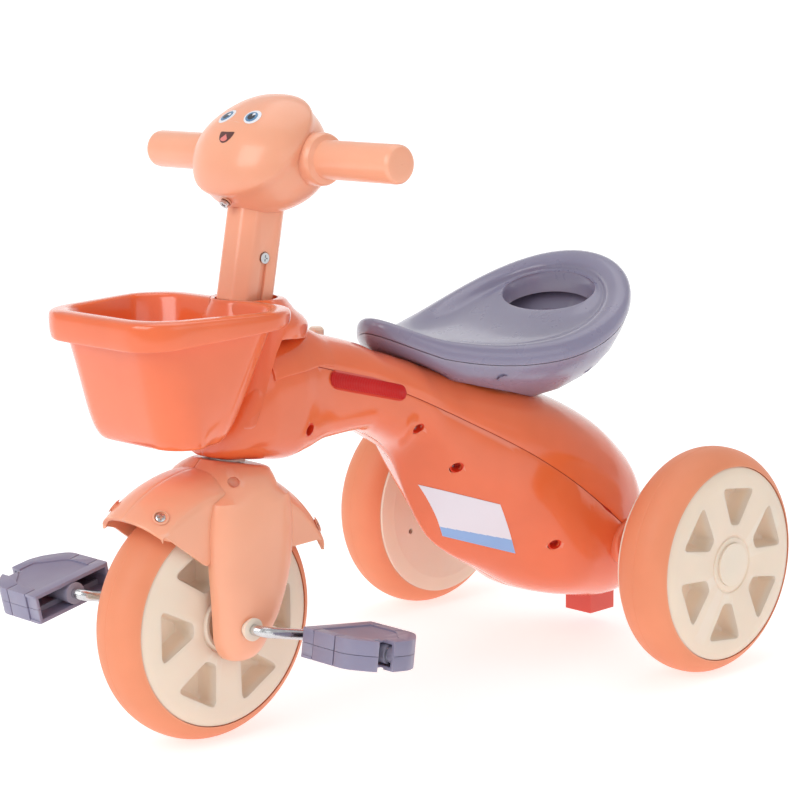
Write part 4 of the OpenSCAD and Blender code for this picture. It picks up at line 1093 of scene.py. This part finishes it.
def makeHub(name, node, centre, side, bodyName, nose, phase):
    face = tyreHalf
    b = wheel["bossR"]
    profile = [(0.0042, 0.004), (0.0042, nose), (b - 0.0095, nose), (b - 0.009, nose - 0.0005),
               (b - 0.009, face - 0.004), (b - 0.0035, face - 0.004), (b - 0.003, face - 0.0035),
               (b - 0.003, face), (b - 0.0024, face + 0.0008), (b, face + 0.0008), (b + 0.0008, face),
               (b + 0.0016, face - 0.0012), (b + 0.0026, face - 0.0012), (b + 0.0034, face - 0.0002),
               (wheel["rootR"] - 0.003, face - 0.0002), (wheel["rootR"] + 0.004, face - 0.0008),
               (wheel["hubR"] - 0.0012, edgeY - 0.0002), (wheel["hubR"] - 0.0003, edgeY - 0.0012),
               (wheel["hubR"] - 0.0003, edgeY - 0.006), (wheel["rootR"], face - 0.0045),
               (0.036, face - 0.0045), (0.030, face - 0.016), (b, face - 0.018), (b, 0.004)]
    profile = [(r, min(y, face) if y > nose else y) for r, y in profile]
    piece = turned(name, profile, centre, side, 144, True, 30)
    outline = windowShape(*wheel["window"])
    cups = []
    cutters = []
    for i in range(wheel["windows"]):
        a = 2 * math.pi * (i + phase) / wheel["windows"]
        turn = Matrix.Rotation(a, 2)
        flat = [turn @ p for p in outline]
        mid = sum(flat, Vector((0, 0))) / len(flat)

        def ring(y, shrink):
            return [centre + Vector((mid.x + (p.x - mid.x) * shrink, side * y,
                                     mid.y + (p.y - mid.y) * shrink))
                    for p in flat]
        cutters.append(loft("windowCut", [ring(face - 0.012, 1.0), ring(face + 0.01, 1.0)],
                            caps=(True, True)))
        cups.append(loft("cup", [ring(face - 0.0003, 1.03), ring(face - 0.0012, 0.985),
                                 ring(face - 0.008, 0.93), ring(face - 0.0145, 0.84),
                                 ring(face - 0.0165, 0.70), ring(face - 0.017, 0.3)],
                         caps=(False, True), sharpAngle=60))
    cutAway(piece, cutters)
    bevel(piece, 0.0005, 2, 50)
    applyAll(piece, 30)
    whole = joined(name + "Whole", [piece] + cups)
    whole.name = name
    smooth(whole, 35)
    place(whole, bodyName, "cream_plastic", cream, node)


rearLeft = Vector((rearX, rearY, axleZ))
rearRight = Vector((rearX, -rearY, axleZ))
makeTyre("frontTyre", "front_tyre", frontAxle, "front_wheel")
makeTyre("rearTyreLeft", "left_rear_tyre", rearLeft, "left_rear_wheel")
makeTyre("rearTyreRight", "right_rear_tyre", rearRight, "right_rear_wheel")
makeHub("frontHubLeft", "front_hub_left", frontAxle, 1, "front_wheel", 0.0307, 0.0)
makeHub("frontHubRight", "front_hub_right", frontAxle, -1, "front_wheel", 0.0307, 0.0)
makeHub("rearHubLeft", "left_rear_hub_outer", rearLeft, 1, "left_rear_wheel", 0.019, 0.62)
makeHub("rearHubRight", "right_rear_hub_outer", rearRight, -1, "right_rear_wheel", 0.019, 0.62)
print("wheels made")


pedal = {"length": 0.068, "width": 0.066, "height": 0.0215, "crank": 0.063, "rest": 14, "leftTilt": 8,
         "rightTilt": 12,
         "y0": 0.0737}


def pedalOutline(inset):
    a = pedal["length"] / 2 - inset
    y0 = pedal["y0"] + inset
    y1 = pedal["y0"] + pedal["width"] - inset
    tip = min(0.010, a - 0.0165)
    corners = [(-a, y0), (a, y0), (a, y1 - 0.020), (a - 0.014, y1 - 0.005), (tip, y1), (-tip, y1),
               (0.014 - a, y1 - 0.005), (-a, y1 - 0.020)]
    return roundedLine(corners, [0.002, 0.002, 0.007, 0.006, 0.004, 0.004, 0.006, 0.007])


def roundedLine(corners, cuts, steps=5):
    # closed outline with each corner turned into a short curve
    out = []
    for i, corner in enumerate(corners):
        p = Vector(corner)
        a = Vector(corners[i - 1]) - p
        b = Vector(corners[(i + 1) % len(corners)]) - p
        p0 = p + a.normalized() * min(cuts[i], a.length * 0.42)
        p1 = p + b.normalized() * min(cuts[i], b.length * 0.42)
        for k in range(steps + 1):
            t = k / steps
            q = (1 - t) ** 2 * p0 + 2 * t * (1 - t) * p + t * t * p1
            out.append((q.x, q.y))
    return out


def slab(name, outline, z0, z1):
    return loft(name, [[Vector((x, y, z0)) for x, y in outline], [Vector((x, y, z1)) for x, y in outline]],
                caps=(True, True))


def cell(name, lo, hi):
    outline = [(lo[0], lo[1]), (hi[0], lo[1]), (hi[0], hi[1]), (lo[0], hi[1])]
    return slab(name, outline, lo[2], hi[2])


def makePedalHalf(name, node, up, put, bodyName):
    h = pedal["height"] / 2
    y0 = pedal["y0"]
    y1 = y0 + pedal["width"]
    a = pedal["length"] / 2
    shell = slab("shell", pedalOutline(0), 0.0002, h)
    cutters = [slab("hollow", pedalOutline(0.003), -0.001, h - 0.0026),
               slab("plate", [(x * 0.999, y) for x, y in pedalOutline(0.0095)], h - 0.0011, h + 0.01),
               cell("mouth", (-a + 0.003, y0 - 0.001, -0.001), (a - 0.003, y0 + 0.006, h - 0.0026))]
    for s in (-1, 1):
        for y in (y0 + 0.012, y0 + 0.034):
            cutters.append(cell("groove", (s * a - 0.0016, y - 0.0006, -0.01),
                                (s * a + 0.0016, y + 0.0006, 0.02)))
            cutters.append(cell("grooveTop", (min(s * a, s * (a - 0.0096)) - 0.0001, y - 0.0006, h - 0.0011),
                                (max(s * a, s * (a - 0.0096)) + 0.0001, y + 0.0006, 0.02)))
        low = min(s * (a - 0.0008), s * (a + 0.002))
        cutters.append(cell("step", (low, y0 - 0.001, -0.01), (low + 0.0028, y0 + 0.0116, h - 0.002)))
    cutters.append(cell("notch", (0.006, y1 - 0.012, -0.01), (0.0175, y1 + 0.01, 0.03)))
    cutAway(shell, cutters)
    bevel(shell, 0.0009, 2, 40)
    applyAll(shell, 35)
    web = [cell("rib1", (-a + 0.0028, y0 + 0.014, 0.0045), (a - 0.0028, y0 + 0.0164, h - 0.002)),
           cell("rib2", (-a + 0.0028, y0 + 0.044, 0.0045), (a - 0.0028, y0 + 0.0464, h - 0.002))]
    piece = joined(name + "Parts", [shell] + web)
    for v in piece.data.vertices:
        co = v.co.copy()
        if not up:
            co.z = -co.z
        v.co = put(co)
    piece.name = name
    fixNormals(piece, 35)
    place(piece, bodyName, "lilac_plastic", lilacDark, node)


def pedalFrame(side):
    rest = math.radians(pedal["rest"])
    centre = frontAxle + Vector((-side * pedal["crank"] * math.cos(rest), 0,
                                 -side * pedal["crank"] * math.sin(rest)))
    tilt = math.radians(-pedal["leftTilt"] if side > 0 else pedal["rightTilt"])
    turn = Matrix.Rotation(tilt, 3, "Y")

    def put(co):
        p = turn @ co
        p.y *= side
        return centre + p
    return put


def makePedals():
    for side, label, bodyName in ((1, "left", "left_pedal"), (-1, "right", "right_pedal")):
        put = pedalFrame(side)
        makePedalHalf(label + "PedalTop", label + "_pedal_upper", True, put, bodyName)
        makePedalHalf(label + "PedalBottom", label + "_pedal_lower", False, put, bodyName)
        # round spindle boss in the outer notch, with a ring and a dimple
        y1 = pedal["y0"] + pedal["width"]
        rings = []
        for r, y in ((6.4, -14), (6.4, -1.4), (5.9, -0.8), (5.1, -0.8), (4.8, -1.5), (4.2, -1.5),
                     (3.9, -0.7), (1.6, -0.7), (1.3, -1.4), (0.2, -1.5)):
            rings.append([put(Vector((r * mm * math.cos(math.pi * i / 18), y1 + y * mm,
                                      r * mm * math.sin(math.pi * i / 18))))
                          for i in range(36)])
        boss = loft(label + "PedalBoss", rings, caps=(True, True))
        place(boss, bodyName, "lilac_plastic", lilacDark)


makePedals()
print("pedals made")


# tail_foot takes the darker orange: painted shadow, for the foot that sits in shadow under the body
kept = {
    "rear_axle_housing": orange, "tail_foot": shadedOrange, "neck_bush_lower": cream, "neck_bush_upper": cream,
    "neck_plug": cream, "fork_bushes": cream, "left_rear_hub_inner": cream, "right_rear_hub_inner": cream,
    "left_rear_cap": cream, "right_rear_cap": cream, "left_pedal_sleeve": lilacDark,
    "right_pedal_sleeve": lilacDark,
}
for name, node in nodes.items():
    material = kept.get(name, steel)
    node.data.materials.clear()
    node.data.materials.append(material)
print("finishes set")


studio = {"background": 0.58, "key": 13, "fill": 3.0, "top": 7, "floor": (0.66, 0.66, 0.66), "glow": 0.6}


def lamp(name, position, aim, size, power):
    data = bpy.data.lights.new(name, "AREA")
    data.shape = "RECTANGLE"
    data.size = size[0]
    data.size_y = size[1]
    data.energy = power
    piece = bpy.data.objects.new(name, data)
    bpy.context.scene.collection.objects.link(piece)
    piece.location = position
    piece.rotation_euler = (Vector(aim) - Vector(position)).to_track_quat("-Z", "Y").to_euler()


def makeStudio():
    rows = []
    for i in range(41):
        v = i / 40
        if v < 0.6:
            y, z = v * 4.0, 0.0
        else:
            a = (v - 0.6) / 0.4 * math.pi / 2
            y, z = 2.4 + 1.6 * math.sin(a), 1.6 * (1 - math.cos(a))
        rows.append((y, z))
    away = Vector((-0.6996, -0.7147, 0))
    across = Vector((away.y, -away.x, 0))
    rings = []
    for y, z in rows:
        rings.append([away * (y - 1.2) + across * s * 6 + Vector((0, 0, z)) for s in (-1, 1)])
    floor = loft("floor", rings, closed=False)
    mat = plastic("floorPaper", studio["floor"], rough=0.8, tone=0.004, coat=0.0, scatter=0.0, edgePaling=0.0)
    shader = mat.node_tree.nodes["Principled BSDF"]
    shader.inputs["Emission Color"].default_value = (1, 1, 1, 1)
    shader.inputs["Emission Strength"].default_value = studio["glow"]
    floor.data.materials.append(mat)
    world = bpy.data.worlds.new("studio")
    world.use_nodes = True
    world.node_tree.nodes["Background"].inputs["Color"].default_value = (1, 1, 1, 1)
    world.node_tree.nodes["Background"].inputs["Strength"].default_value = studio["background"]
    bpy.context.scene.world = world
    lamp("keyLight", (1.7, 0.0, 1.2), (0, 0, 0.2), (1.2, 1.2), studio["key"])
    lamp("fillLight", (0.2, 1.8, 0.9), (0, 0, 0.2), (1.4, 1.0), studio["fill"])
    lamp("topLight", (-0.4, -0.2, 2.0), (0, 0, 0.1), (1.6, 1.6), studio["top"])
    bpy.context.scene.view_settings.view_transform = "Standard"


view = {"from": (frontX + 1.0403, 1.2671, 0.5381), "along": (-0.6887, -0.7036, -0.1752), "roll": -0.0088,
        "lens": 104.7, "sensor": 36}


def makeCamera():
    forward = Vector(view["along"]).normalized()
    right = forward.cross(Vector((0, 0, 1))).normalized()
    up = right.cross(forward)
    roll = view["roll"]
    side = math.cos(roll) * right + math.sin(roll) * up
    top = -math.sin(roll) * right + math.cos(roll) * up
    data = bpy.data.cameras.new("camera")
    data.lens = view["lens"]
    data.sensor_width = view["sensor"]
    data.clip_start = 0.05
    camera = bpy.data.objects.new("camera", data)
    bpy.context.scene.collection.objects.link(camera)
    turn = Matrix((side, top, -forward)).transposed().to_4x4()
    camera.matrix_world = Matrix.Translation(view["from"]) @ turn
    bpy.context.scene.camera = camera


makeStudio()
makeCamera()
print("scene ready")
